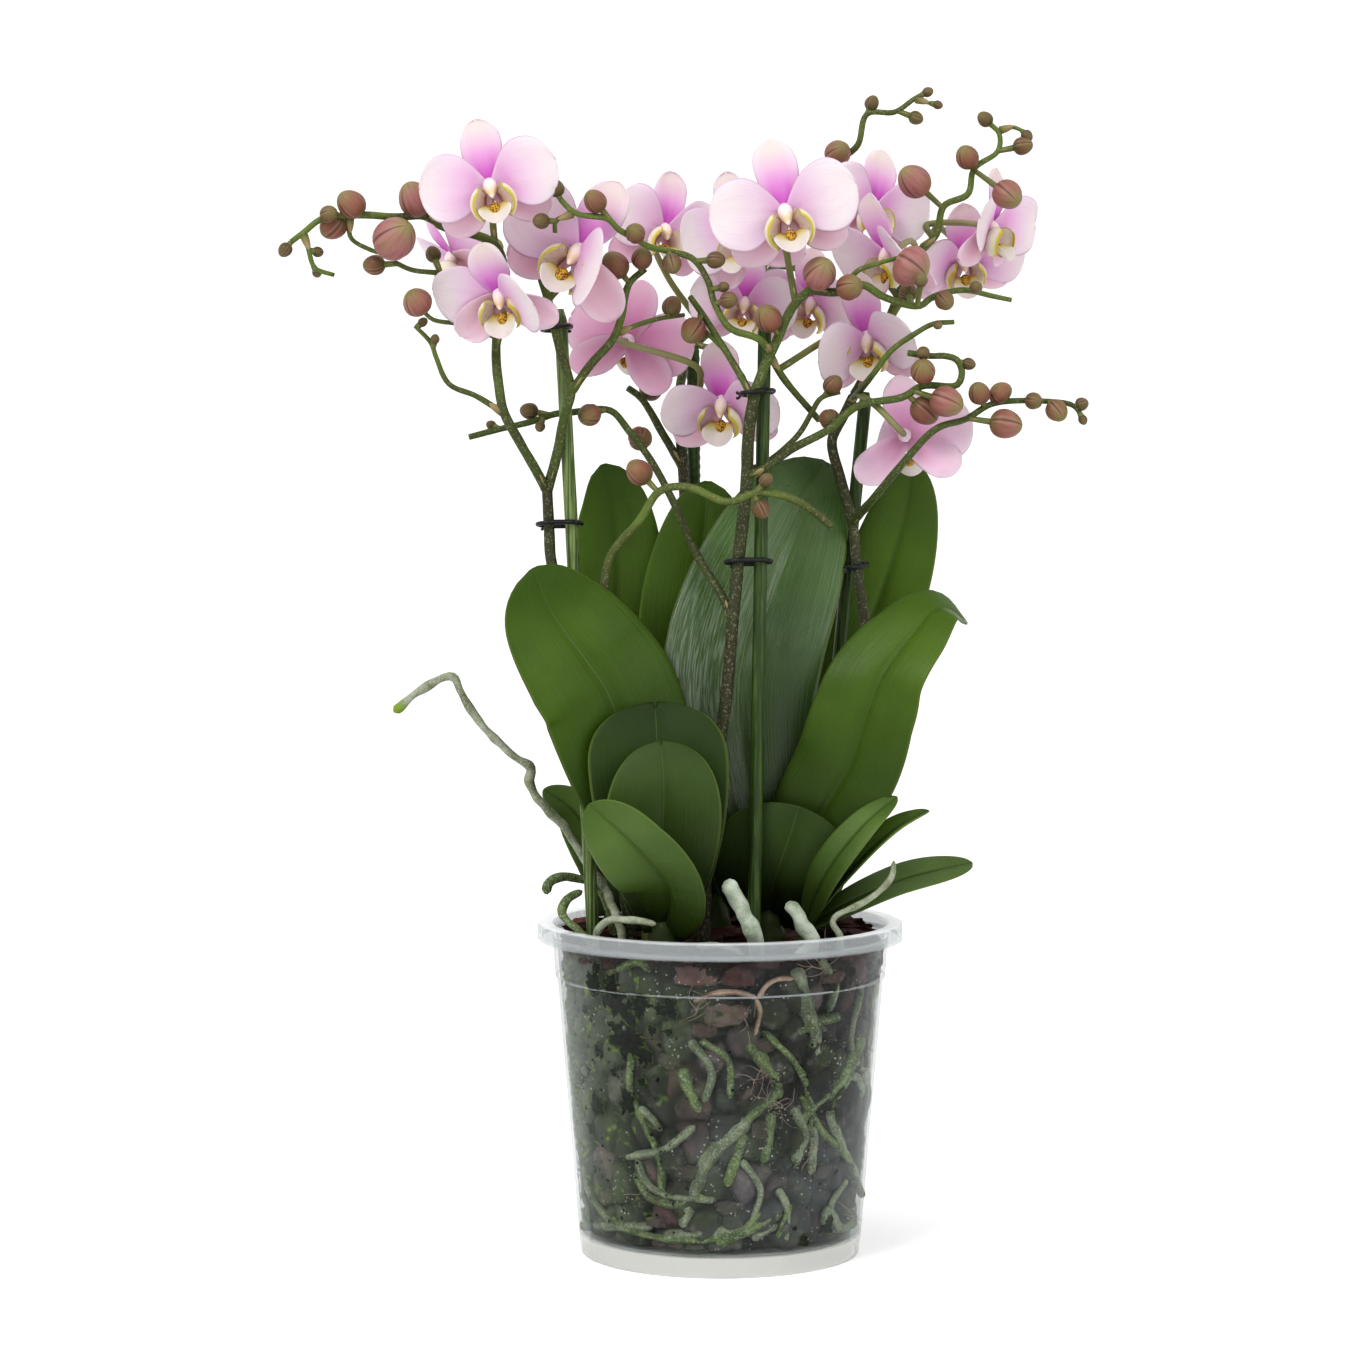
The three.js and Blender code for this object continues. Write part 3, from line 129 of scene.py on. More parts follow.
# Leaves: crown, radius of the short stem, then each blade's kind (0 plain, 1 glossy with a painted silvery
# sheen,
# 2 pale, 3 deep: a darker copy that is partly painted shade), paleness (on the left crown's long blade raised
#                 as
# painted light over its shade), half width, facing at root and at tip, fold, width at the root, place of its
# widest part, notch, and the line of its midrib.
LEAVES = {
    "front": ((664, 925, -27), 7.5, [
        (0, 0.1, 24.5, (25, 10), (15, 25), 0.12, 0.3, 0.62, 0, [(645, 815, -24), (610, 697, -25),
         (587, 661, -27), (551, 611, -30), (533, 568, -34)]),
        # Deep green here is partly painted shade: this blade is cupped behind the front one.
        (3, 0.12, 22.5, (0, 10), (0, 20), 0.3, 0.42, 0.74, 0.05, [(663, 850, -29), (658, 760, -31),
         (655, 702, -28)]),
        (3, 0.45, 18.5, (0, 5), (0, 15), 0.2, 0.35, 0.62, 0.04, [(662, 860, -39), (664, 790, -43),
         (661, 741, -40)]),
        (2, 0.25, 15, (-25, -20), (-30, -5), 0.3, 0.5, 0.5, 0, [(668, 888, -44), (630, 842, -52),
         (589, 804, -54)]),
    ]),
    "middle": ((768, 925, -4), 8, [
        (1, 0.2, 26, (4, 12), (14, 28), 0.22, 0.3, 0.55, 0, [(752, 820, -8), (738, 700, -7),
         (745, 646, -4), (765, 585, 2), (797, 511, 11), (826, 462, 19)]),
        (0, 0.3, 18, (-8, 0), (-10, 60), 0.25, 0.22, 0.45, 0, [(796, 858, -13), (822, 812, -17),
         (848, 767, -20), (866, 714, -22), (881, 676, -22), (908, 640, -20), (940, 608, -15),
         (966, 622, -9)]),
        (3, 0.3, 22, (-5, 0), (0, 10), 0.12, 0.55, 0.6, 0, [(774, 882, -16), (790, 835, -21),
         (799, 806, -22)]),
        (3, 0.1, 9, (-20, 0), (-20, 10), 0.2, 0.5, 0.5, 0, [(786, 820, 4), (815, 740, 5), (838, 686, 5)]),
    ]),
    "back": ((716, 915, 25), 7, [
        (0, 0.35, 16, (0, 5), (5, 25), 0.2, 0.4, 0.68, 0, [(664, 790, 17), (622, 650, 19), (618, 566, 20),
         (614, 506, 19), (603, 464, 16)]),
        (0, 0.2, 20, (0, 5), (0, 20), 0.2, 0.4, 0.6, 0, [(702, 770, 15), (698, 620, 14), (703, 550, 15),
         (708, 481, 16)]),
        (0, 0.3, 15.5, (0, 5), (10, 25), 0.2, 0.4, 0.66, 0, [(772, 800, 29), (840, 690, 28),
         (882, 590, 26), (905, 510, 24), (913, 462, 22)]),
    ]),
    "right": ((805, 932, -20), 3.6, [
        (2, 0.4, 6.5, (-30, 20), (-20, 40), 0.35, 0.4, 0.45, 0, [(828, 872, -31), (865, 825, -32),
         (897, 797, -28)]),
        (0, 0.3, 5, (-45, 30), (-45, 40), 0.7, 0.6, 0.45, 0, [(850, 872, -27), (895, 830, -26),
         (929, 811, -22)]),
        (2, 0.5, 6.5, (-10, 40), (-5, 45), 0.25, 0.5, 0.62, 0, [(853, 901, -24), (905, 879, -13),
         (972, 863, 0)]),
    ]),
    "left": ((609, 930, 12), 3.2, [
        # Painted light: this blade's high paleness lifts the shade it sits in.
        (2, 0.8, 8.5, (-20, 30), (-20, 50), 0.25, 0.45, 0.55, 0, [(598, 855, 11), (575, 812, 11),
         (543, 790, 11)]),
        (0, 0.5, 5, (20, 20), (20, 30), 0.25, 0.5, 0.5, 0, [(618, 894, 16), (634, 882, 18),
         (650, 873, 19)]),
    ]),
}

# Blooms: place, facing, roll, size, the lift of the five petals, the stem, where the stalk leaves it,
# and points that the stalk passes.
FLAT = (-8, 8, 8, -8, -8)
BLOOMS = [
    ((490, 186, -47), (4, -12), -13, 0.95, FLAT, "left", (503, 258, -22), []),
    ((578, 252, -33), (-14, -10), 33, 1.14, (-5, 5, 62, -5, -10), "left", (548, 300, -14), []),
    ((500, 294, -32), (-10, -34), -8, 0.94, (12, 5, 48, 15, 10), "left", (498, 340, -23), []),
    ((454, 257, 8), (-74, -36), -10, 0.96, (0, 15, -28, 5, -8), "left", (480, 290, -19), []),
    ((664, 230, 36), (25, -8), 12, 0.9, FLAT, "back", (712, 332, 50), []),
    ((628, 342, 8), (168, -4), -14, 0.95, (5, 12, 12, 5, 5), "back", (681, 442, 25),
     [(697, 400, 12), (700, 372, 2), (688, 362, -4)]),
    ((785, 212, -30), (4, -12), -13, 1.04, FLAT, "centre", (792, 300, -20), []),
    ((741, 236, 8), (-32, -14), -16, 0.98, FLAT, "back", (752, 295, 57), []),
    ((745, 303, 34), (-8, -15), 6, 0.86, (0, 25, 25, -5, -5), "back", (732, 316, 55), []),
    ((812, 303, 37), (-26, -22), 8, 0.86, (0, 14, 25, 0, 0), "back", (775, 265, 60), []),
    ((722, 402, 6), (-18, -36), 4, 0.96, (-10, 38, 20, 30, 5), "back", (700, 340, 46), []),
    ((873, 208, 25), (24, -6), 14, 0.9, (-8, 8, 8, -1, -1), "right", (895, 300, 34), []),
    ((888, 254, 6), (-52, -28), 0, 0.95, (0, 20, 30, 10, 5), "right", (885, 330, 16), []),
    ((868, 338, 2), (-22, -30), -4, 0.96, (-10, 58, 30, 20, 10), "centre", (778, 360, -14), []),
    ((990, 227, 31), (58, -14), 0, 0.88, (0, 22, 25, 5, 5), "right", (936, 240, 20), []),
    ((963, 258, 54), (12, -34), -8, 0.92, (0, 30, 20, 10, 5), "right", (930, 240, 18), [(939, 227, 48)]),
    ((905, 437, -6), (168, -16), 8, 0.96, (5, 8, 58, 10, 10), "right", (860, 392, 0), []),
]

# Stems: branches as first and last radius and points; buds as middle, joint and width.
STEMS = {
    "left": ([
        (2, 1.75, [(630, 935, -4), (604, 780, -12.5), (573, 655, -14), (551, 560, -9.5), (549, 524, -8.3),
         (547, 489, -9)]),
        (1.6, 1.4, [(547, 492, -9), (537, 472, -12), (519, 441, -17), (504, 412, -21), (499, 387, -20),
         (496, 352, -14), (500, 300, -10), (503, 262, -12), (493, 243, -18), (468, 233, -26),
         (444, 227, -30)]),
        (1.4, 0.9, [(444, 227, -30), (424, 216, -33), (400, 217, -34), (364, 215, -36), (337, 216, -37),
         (321, 219, -38), (303, 233, -39), (291, 242, -39)]),
        (0.9, 0.7, [(303, 233, -39), (308, 247, -39), (312, 263, -38), (316, 269, -37), (334, 275, -35)]),
        (0.8, 0.7, [(350, 217, -36), (351, 238, -33), (371, 250, -33), (384, 254, -34)]),
        (1, 0.8, [(500, 300, -10), (472, 284, -20), (445, 274, -25), (412, 270, -28), (394, 262, -30)]),
        (0.8, 0.7, [(497, 335, -13), (463, 325, -15), (432, 319, -30), (424, 312, -32)]),
        (1, 0.7, [(504, 414, -21), (476, 396, -22), (449, 384, -24), (436, 357, -26), (431, 343, -26),
         (415, 326, -25)]),
        (1.75, 1.3, [(547, 492, -9), (558, 450, -10), (565, 414, -12), (571, 391, -13), (560, 350, -12.5),
         (555, 328, -12.8), (548, 300, -14), (538, 262, -14), (540, 232, -16)]),
        (1.5, 1.1, [(571, 392, -13), (592, 363, -16), (613, 339, -18), (621, 318, -18), (629, 284, -18),
         (645, 269, -17)]),
        (0.9, 0.7, [(618, 334, -18), (640, 324, -14), (662, 318, -9), (684, 315, -4)]),
    ], [
        ((285, 250, -39), (291, 243, -39), 4.4), ((415, 199, -35), (424, 216, -33), 10.6),
        ((395, 238, -40), (379, 256, -34), 13.4), ((351, 204, -38), (364, 214, -36), 8.8),
        ((333, 226, -34), (345, 218, -36), 8.6), ((329, 214, -41), (322, 219, -38), 5.6),
        ((318, 252, -37), (310, 250, -39), 3.4), ((317, 273, -35), (314, 266, -38), 3),
        ((374, 265, -28), (392, 270, -27), 6.6), ((433, 254, -22), (436, 272, -20), 5),
        ((417, 302, -34), (425, 314, -32), 9.4), ((423, 322, -25), (416, 328, -25), 3),
        ((435, 339, -28), (433, 348, -26), 3), ((615, 265, -20), (629, 283, -18), 8.6),
        ((642, 258, -22), (640, 272, -17), 6.8), ((672, 306, -6), (668, 317, -8), 6.4),
    ]),
    "centre": ([
        (2.1, 2, [(704, 935, -14), (711, 800, -18), (726, 700, -20.5), (733, 618, -21), (738, 563, -21.3),
         (746, 490, -21.5), (749, 430, -21.5), (755, 392, -22)]),
        (1.8, 1.4, [(755, 394, -22), (765, 366, -22), (777, 340, -21), (792, 308, -20), (808, 291, -22),
         (818, 283, -25)]),
        (1.5, 0.8, [(810, 290, -22), (838, 292, -26), (863, 285, -27), (884, 297, -26), (919, 306, -24),
         (933, 297, -22), (963, 290, -20), (992, 296, -18), (1011, 300, -16)]),
        (0.9, 0.7, [(846, 290, -26), (856, 272, -28), (876, 264, -28), (897, 258, -26)]),
        (1.2, 1, [(751, 400, -21.5), (742, 378, -18), (722, 345, -11), (703, 315, -5), (690, 297, -2)]),
        (1.2, 0.9, [(772, 352, -22), (757, 338, -30), (730, 328, -28), (714, 302, -24), (708, 281, -22),
         (693, 259, -21), (668, 251, -24), (650, 247, -28), (636, 239, -34), (618, 229, -40),
         (608, 219, -42), (575, 213, -43), (560, 199, -44)]),
        (0.9, 0.7, [(574, 214, -43), (556, 221, -43), (555, 233, -43)]),
        (0.9, 0.7, [(744, 381, -18), (726, 352, -12), (700, 324, -6), (700, 312, -4)]),
        (1.2, 1, [(771, 356, -21.5), (784, 379, -16), (804, 403, -10), (819, 420, -6)]),
        (1.4, 1, [(747, 477, -21.5), (763, 469, -24), (792, 449, -24), (828, 430, -22), (858, 406, -20),
         (903, 397, -20), (922, 386, -20), (957, 385, -20), (962, 372, -20), (957, 360, -20),
         (945, 356, -20), (930, 356, -21), (908, 353, -22)]),
        (1.1, 0.8, [(748, 470, -21.5), (754, 468, -14), (766, 463, -11.5), (798, 435, -10.5),
         (812, 412, -10), (821, 398, -11), (840, 392, -12)]),
        (1.4, 1, [(733, 622, -21), (723, 598, -17), (697, 555, -9), (671, 497, -3), (650, 459, 0),
         (629, 431, 2), (613, 412, 3), (600, 409, 3), (575, 412, 4), (555, 414, 3), (534, 421, 2),
         (500, 429, 0), (469, 437, -2)]),
    ], [
        ((820, 273, -30), (812, 288, -23), 10.6), ((850, 287, -32), (838, 292, -26), 8.4),
        ((912, 267, -28), (897, 258, -26), 13.6), ((921, 280, -38), (918, 304, -25), 4.4),
        ((908, 292, -16), (912, 304, -24), 6), ((945, 301, -26), (940, 295, -22), 6.2),
        ((976, 287, -24), (972, 291, -20), 4.2), ((595, 201, -44), (612, 220, -41), 7),
        ((556, 188, -44), (560, 199, -44), 5.2), ((541, 221, -46), (556, 221, -43), 5),
        ((635, 233, -38), (640, 242, -32), 6.4), ((672, 264, -27), (668, 252, -24), 6.2),
        ((716, 260, -24), (696, 260, -20), 5.6), ((724, 287, -26), (711, 290, -22), 3.4),
        ((729, 300, -30), (715, 304, -24), 5.6), ((693, 331, -10), (702, 315, -5), 8.2),
        ((768, 318, -26), (779, 336, -21), 8.6), ((833, 385, -12), (824, 396, -11), 6.2),
        ((829, 419, -16), (838, 423, -21), 6.8), ((923, 353, -25), (928, 357, -21), 4.4),
        ((969, 364, -20), (958, 362, -20), 4), ((923, 371, -26), (924, 386, -20), 8),
        ((947, 402, -26), (920, 400, -20), 10), ((925, 411, -18), (908, 396, -20), 9),
        ((529, 411, 4), (550, 411, 3), 5.6), ((491, 425, 2), (500, 429, 0), 3.2),
        ((540, 427, -2), (544, 419, 2), 3.4), ((589, 415, -4), (606, 410, 3), 7.4),
        ((640, 438, 9), (640, 446, 1), 8),
    ]),
    "right": ([
        (1.9, 1.7, [(830, 935, 4), (850, 800, 2), (866, 700, 3), (866, 640, 5), (857, 565, 7.2),
         (852, 521, 7), (841, 480, 6), (832, 441, 5), (843, 417, 6), (853, 397, 8.5)]),
        (1.2, 0.8, [(852, 402, 8), (862, 388, -6), (874, 373, -18), (892, 350, -22), (913, 335, -24),
         (933, 324, -24), (954, 322, -23)]),
        (1.5, 0.8, [(854, 522, 7), (874, 498, -12), (898, 469, -20), (936, 429, -24), (966, 419, -19),
         (992, 404, -17), (1042, 401, -14), (1074, 406, -14), (1083, 419, -14)]),
        (1.4, 1.3, [(853, 397, 8.5), (871, 360, 15), (886, 325, 19), (898, 295, 20), (912, 262, 20),
         (922, 248, 19)]),
        (1.3, 0.8, [(921, 250, 19), (936, 235, 18), (944, 206, 16), (968, 194, 15), (974, 169, 15),
         (998, 151, 15), (999, 133, 15), (990, 124, 15)]),
        (0.8, 0.6, [(998, 131, 15), (1012, 127, 15), (1027, 133, 14)]),
    ], [
        ((914, 181, 10), (939, 206, 16), 10.6), ((967, 157, 12), (975, 170, 15), 7.6),
        ((1008, 195, 0), (974, 170, 15), 9.6), ((985, 119, 15), (992, 126, 15), 5),
        ((1027, 136, 14), (1022, 130, 14), 3.8), ((1023, 146, 13), (998, 151, 15), 6),
        ((1006, 424, -19), (968, 419, -19), 9.6), ((979, 393, -21), (985, 407, -18), 7),
        ((1000, 393, -16), (1006, 403, -14), 8.2), ((1034, 401, -18), (1026, 401, -14), 5.6),
        ((1057, 411, -17), (1048, 402, -14), 7), ((1082, 404, -14), (1075, 406, -14), 4.4),
        ((1083, 420, -14), (1080, 412, -14), 3), ((938, 325, -27), (934, 324, -24), 3),
    ]),
    "back": ([
        (2, 1.8, [(676, 930, 24), (680, 800, 25), (685, 650, 25), (686, 540, 24.5), (683, 468, 23),
         (679, 420, 27)]),
        (1.6, 1.2, [(679, 420, 27), (682, 376, 38), (700, 340, 50), (728, 320, 56), (760, 285, 60),
         (796, 230, 58), (815, 190, 50), (828, 165, 40)]),
        (1.2, 0.8, [(828, 165, 36), (857, 146, 34), (867, 114, 33), (895, 112, 32), (914, 99, 32),
         (927, 92, 32)]),
        (0.8, 0.6, [(914, 99, 32), (937, 105, 31)]),
        (1.5, 1.1, [(683, 468, 23), (663, 434, 23), (641, 398, 22), (628, 388, 20)]),
    ], [
        ((838, 153, 32), (822, 160, 37), 8.8), ((872, 103, 33), (867, 114, 33), 4.8),
        ((916, 118, 33), (898, 112, 32), 4.6), ((928, 92, 32), (920, 95, 32), 3.4),
        ((938, 105, 31), (930, 103, 31), 3), ((652, 388, 25), (641, 400, 22), 8),
    ]),
    "young": ([
        (1.6, 1.2, [(646, 935, -4), (622, 760, -8), (606, 640, -12), (609, 560, -16), (640, 520, -22),
         (660, 491, -26), (688, 487, -29), (728, 502, -32), (760, 492, -34), (792, 499, -32),
         (813, 511, -28), (831, 526, -25)]),
    ], [
        ((639, 472, -24), (658, 492, -26), 8.2), ((766, 480, -36), (756, 493, -34), 4.4),
        ((761, 509, -33), (754, 495, -34), 6),
    ]),
}

# Roots: the hub, the free roots, and those on the wall as picture points.
ROOTS = {
    "left": ((614, 1006, -14), [
        (1.5, 1.4, [(614, 1006, -14), (622, 938, -20), (612, 905, -10), (600, 880, 0), (580, 853, 1),
         (564, 826, -1), (546, 808, -4), (529, 782, -6), (531, 768, -8), (516, 757, -10), (493, 737, -12),
         (466, 703, -13), (452, 677, -13), (420, 691, -12), (394, 712, -11)]),
        (1.4, 1.2, [(614, 1006, -14), (588, 940, -24), (562, 914, -22), (567, 900, -20), (582, 891, -16)]),
        (1.4, 1.2, [(614, 1006, -14), (596, 935, -30), (609, 921, -32), (632, 920, -36), (656, 924, -40)]),
        (1.3, 1.5, [(614, 1006, -14), (616, 950, 0), (606, 900, 4), (593, 883, 2), (577, 878, -2),
         (559, 877, -6), (549, 883, -8), (546, 894, -9)]),
    ], [
        (1.6, 1.4, [(632, 1050), (630, 1090), (646, 1126), (660, 1160), (663, 1200)]),
    ]),
    "front": ((726, 1006, -31), [
        (1.9, 2, [(726, 1006, -31), (757, 955, -38), (752, 932, -42), (740, 905, -43), (727, 880, -43)]),
        (1.8, 1.9, [(726, 1006, -31), (790, 965, -36), (812, 944, -37), (800, 920, -38), (788, 902, -38)]),
        (1.3, 1.1, [(726, 1006, -31), (742, 958, -44), (722, 946, -48), (697, 946, -47)]),
    ], [
        (1.9, 1.5, [(752, 1050), (777, 1086), (744, 1123), (714, 1155), (697, 1187), (682, 1226)]),
        (1.4, 1.2, [(772, 1040), (800, 1072), (810, 1123), (794, 1166)]),
    ]),
    "right": ((836, 1006, -12), [
        (1.2, 1, [(836, 1006, -12), (840, 938, -30), (833, 920, -31), (866, 901, -31), (891, 878, -30),
         (894, 861, -29)]),
    ], [
        (1.6, 1.3, [(856, 1040), (850, 1073), (832, 1106), (836, 1150)]),
    ]),
}

# Roots seen through the wall: kind (0 plain, 1 green, 2 tan), radius and picture points.
WALL_ROOTS = [
    (2, 1.05, [(694, 1001), (712, 994), (735, 992), (757, 998)]),
    (2, 0.95, [(758, 998), (766, 986), (778, 979), (793, 979)]),
    (2, 0.95, [(756, 999), (760, 1012), (755, 1035)]),
    (1, 2.2, [(681, 1068), (688, 1088), (700, 1112)]),
    (1, 2.0, [(795, 1033), (818, 1022), (840, 1016)]),
    (1, 1.9, [(862, 1038), (846, 1072), (826, 1094), (807, 1112)]),
    (1, 2.0, [(758, 1050), (771, 1074), (780, 1098)]),
    (0, 2.7, [(750, 1118), (726, 1140), (709, 1158), (697, 1186), (683, 1228)]),
    (1, 2.0, [(744, 1134), (735, 1160), (727, 1186)]),
    (1, 2.0, [(771, 1112), (768, 1138), (763, 1162)]),
    (0, 2.1, [(792, 1107), (804, 1134), (793, 1164)]),
    (0, 1.9, [(812, 1126), (812, 1150), (810, 1175)]),
    (1, 1.4, [(795, 1063), (804, 1080), (810, 1096)]),
    (0, 2.1, [(825, 1112), (842, 1150), (856, 1189)]),
    (0, 3.4, [(793, 968), (803, 1000), (812, 1036), (816, 1070)]),
    (0, 1.3, [(640, 1107), (652, 1118), (662, 1131)]),
    (0, 1.6, [(626, 1156), (646, 1154), (667, 1148), (695, 1126)]),
    (0, 1.5, [(637, 1159), (646, 1180), (659, 1192), (688, 1198), (716, 1200)]),
    (0, 1.8, [(582, 1225), (618, 1226), (653, 1227)]),
    (0, 1.9, [(664, 1236), (700, 1233), (738, 1230)]),
    (1, 2.3, [(716, 1243), (750, 1228), (782, 1211)]),
    (0, 1.5, [(752, 1239), (765, 1231), (777, 1225)]),
    (0, 1.5, [(777, 1189), (786, 1206), (785, 1242)]),
    (0, 1.6, [(822, 1225), (827, 1210), (840, 1228), (852, 1222)]),
    (0, 1.6, [(586, 1182), (598, 1204), (612, 1222)]),
    (0, 1.4, [(862, 985), (850, 1040), (868, 1090), (858, 1140)]),
    (1, 1.3, [(700, 1040), (728, 1060), (730, 1098)]),
    (1, 2.1, [(852, 1050), (842, 1076), (826, 1096), (806, 1112), (800, 1132)]),
    (1, 1.5, [(800, 1096), (822, 1132), (848, 1160), (862, 1196)]),
    (1, 1.7, [(636, 1172), (650, 1196), (674, 1204), (704, 1196)]),
    (1, 1.4, [(612, 1218), (640, 1233), (690, 1240), (740, 1236)]),
    (1, 1.2, [(760, 1212), (744, 1228), (712, 1238)]),
    (1, 1.3, [(790, 1204), (783, 1222), (776, 1240)]),
    (0, 1.8, [(820, 960), (834, 985), (828, 1012)]),
    (0, 1.4, [(846, 1180), (830, 1206), (838, 1232)]),
    (0, 1.6, [(690, 1040), (712, 1072), (704, 1102)]),
    (0, 1.3, [(742, 1160), (760, 1190), (752, 1222)]),
    (1, 1.5, [(617, 970), (640, 962), (650, 972)]),
]

# Chips seen through the wall: picture column and row, width, height and tone.
WALL_CHIPS = [
    (697, 976, 7.5, 4.6, 0.9), (738, 977, 5.4, 4.2, 0.7), (720, 1014, 6.4, 4.8, 1.0),
    (740, 1013, 3.4, 3, 1.0), (704, 1030, 4.4, 2.6, 0.6), (770, 962, 5, 2.6, 0.5),
    (834, 976, 6, 3, 0.6), (764, 1046, 3.6, 3, 0.5), (655, 1222, 4, 2.4, 0.5), (688, 1172, 4.4, 3, 0.4),
    (760, 1130, 3.6, 4.2, 0.45), (838, 1122, 3.4, 3.8, 0.5), (607, 1196, 4.2, 3, 0.45),
    (670, 1060, 4, 3.2, 0.35), (822, 1172, 4.4, 3.4, 0.4), (728, 1208, 4.6, 3, 0.4),
]

# Tufts of hair roots: picture column and row, reach in pixels and how many.
FIBRES = [
    (762, 1078, 26, 12), (775, 1108, 26, 10), (822, 962, 30, 8), (706, 1006, 30, 8), (748, 1022, 20, 6),
    (812, 1150, 16, 4), (640, 1190, 18, 5), (850, 1215, 16, 5),
]

# Blotches of algae: picture column and row, and size.
BLOTCHES = [
    (618, 1003, 5.4), (640, 1006, 4.2), (669, 1010, 3.4), (627, 1041, 7.2), (599, 1052, 2.6),
    (597, 1105, 4.2), (627, 1103, 3.8), (645, 1057, 2.8), (594, 984, 4.4), (610, 984, 3.4),
    (612, 1028, 2.2), (652, 1030, 1.6), (585, 1010, 2), (668, 1032, 1.4), (590, 1130, 2),
    (642, 1082, 1.6), (614, 1072, 1.8), (596, 968, 2.2), (828, 1226, 3), (804, 1240, 2),
    (660, 1010, 1.8), (631, 1019, 2.4), (605, 1002, 1.8),
]

# ---- Curves and meshes ----


def lerp(a, b, t):
    return a + (b - a) * t


def plain_tone(share):
    return (share, 0, 0, 0)


def seen(point):
    """The point at depth y on the line of sight through a picture point."""
    column, row, y = point
    right, down = (column - MIDDLE) / FOCAL, (row - MIDDLE) / FOCAL
    flat, steep = math.cos(LOOK_DOWN), math.sin(LOOK_DOWN)
    ray = Vector((right, flat - down * steep, -steep - down * flat))
    return EYE + ray * ((y - EYE.y) / ray.y)


class Route:
    """A smooth line through points, measured along its length."""

    def __init__(self, points):
        self.line = []
        count = len(points)
        for i in range(count - 1):
            before = points[i - 1] if i else points[0] * 2 - points[1]
            after = points[i + 2] if i + 2 < count else points[-1] * 2 - points[-2]
            self.line += self.stretch(before, points[i], points[i + 1], after)
        self.line.append(points[-1].copy())
        self.reach = [0.0]
        for a, b in zip(self.line, self.line[1:]):
            self.reach.append(self.reach[-1] + (b - a).length)
        self.length = self.reach[-1]

    @staticmethod
    def stretch(p0, p1, p2, p3, parts=16):
        """The points from p1 up to p2 of a centripetal curve."""
        d0, d1, d2 = (max((b - a).length ** 0.5, 1e-4) for a, b in ((p0, p1), (p1, p2), (p2, p3)))
        t1 = ((p1 - p0) / d0 - (p2 - p0) / (d0 + d1) + (p2 - p1) / d1) * d1
        t2 = ((p2 - p1) / d1 - (p3 - p1) / (d1 + d2) + (p3 - p2) / d2) * d1
        square = (p2 - p1) * 3 - t1 * 2 - t2
        cube = (p1 - p2) * 2 + t1 + t2
        return [p1 + t1 * w + square * w * w + cube * w**3 for w in (i / parts for i in range(parts))]

    def at(self, share):
        want = min(max(share, 0.0), 1.0) * self.length
        low, high = 0, len(self.reach) - 1
        while high - low > 1:
            middle = (low + high) // 2
            if self.reach[middle] <= want:
                low = middle
            else:
                high = middle
        span = self.reach[high] - self.reach[low]
        return self.line[low].lerp(self.line[high], (want - self.reach[low]) / max(span, 1e-6))

    def heading(self, share):
        step = 0.004
        return (self.at(min(share + step, 1)) - self.at(max(share - step, 0))).normalized()

    def nearest(self, point):
        best = None
        for a, b in zip(self.line, self.line[1:]):
            side = b - a
            t = min(max((point - a).dot(side) / max(side.length_squared, 1e-9), 0), 1)
            spot = a + side * t
            if best is None or (spot - point).length < (best - point).length:
                best = spot
        return best


def show(name, data):
    piece = bpy.data.objects.new(name, data)
    bpy.context.scene.collection.objects.link(piece)
    return piece


def mesh_of(name, points, faces):
    mesh = bpy.data.meshes.new(name)
    mesh.from_pydata([tuple(p * MM + AXIS) for p in points], [], faces)
    return mesh


def work_over(mesh, change=None):
    """Changes a mesh with bmesh and turns its faces outwards."""
    work = bmesh.new()
    work.from_mesh(mesh)
    if change:
        change(work)
    bmesh.ops.recalc_face_normals(work, faces=work.faces)
    work.to_mesh(mesh)
    work.free()


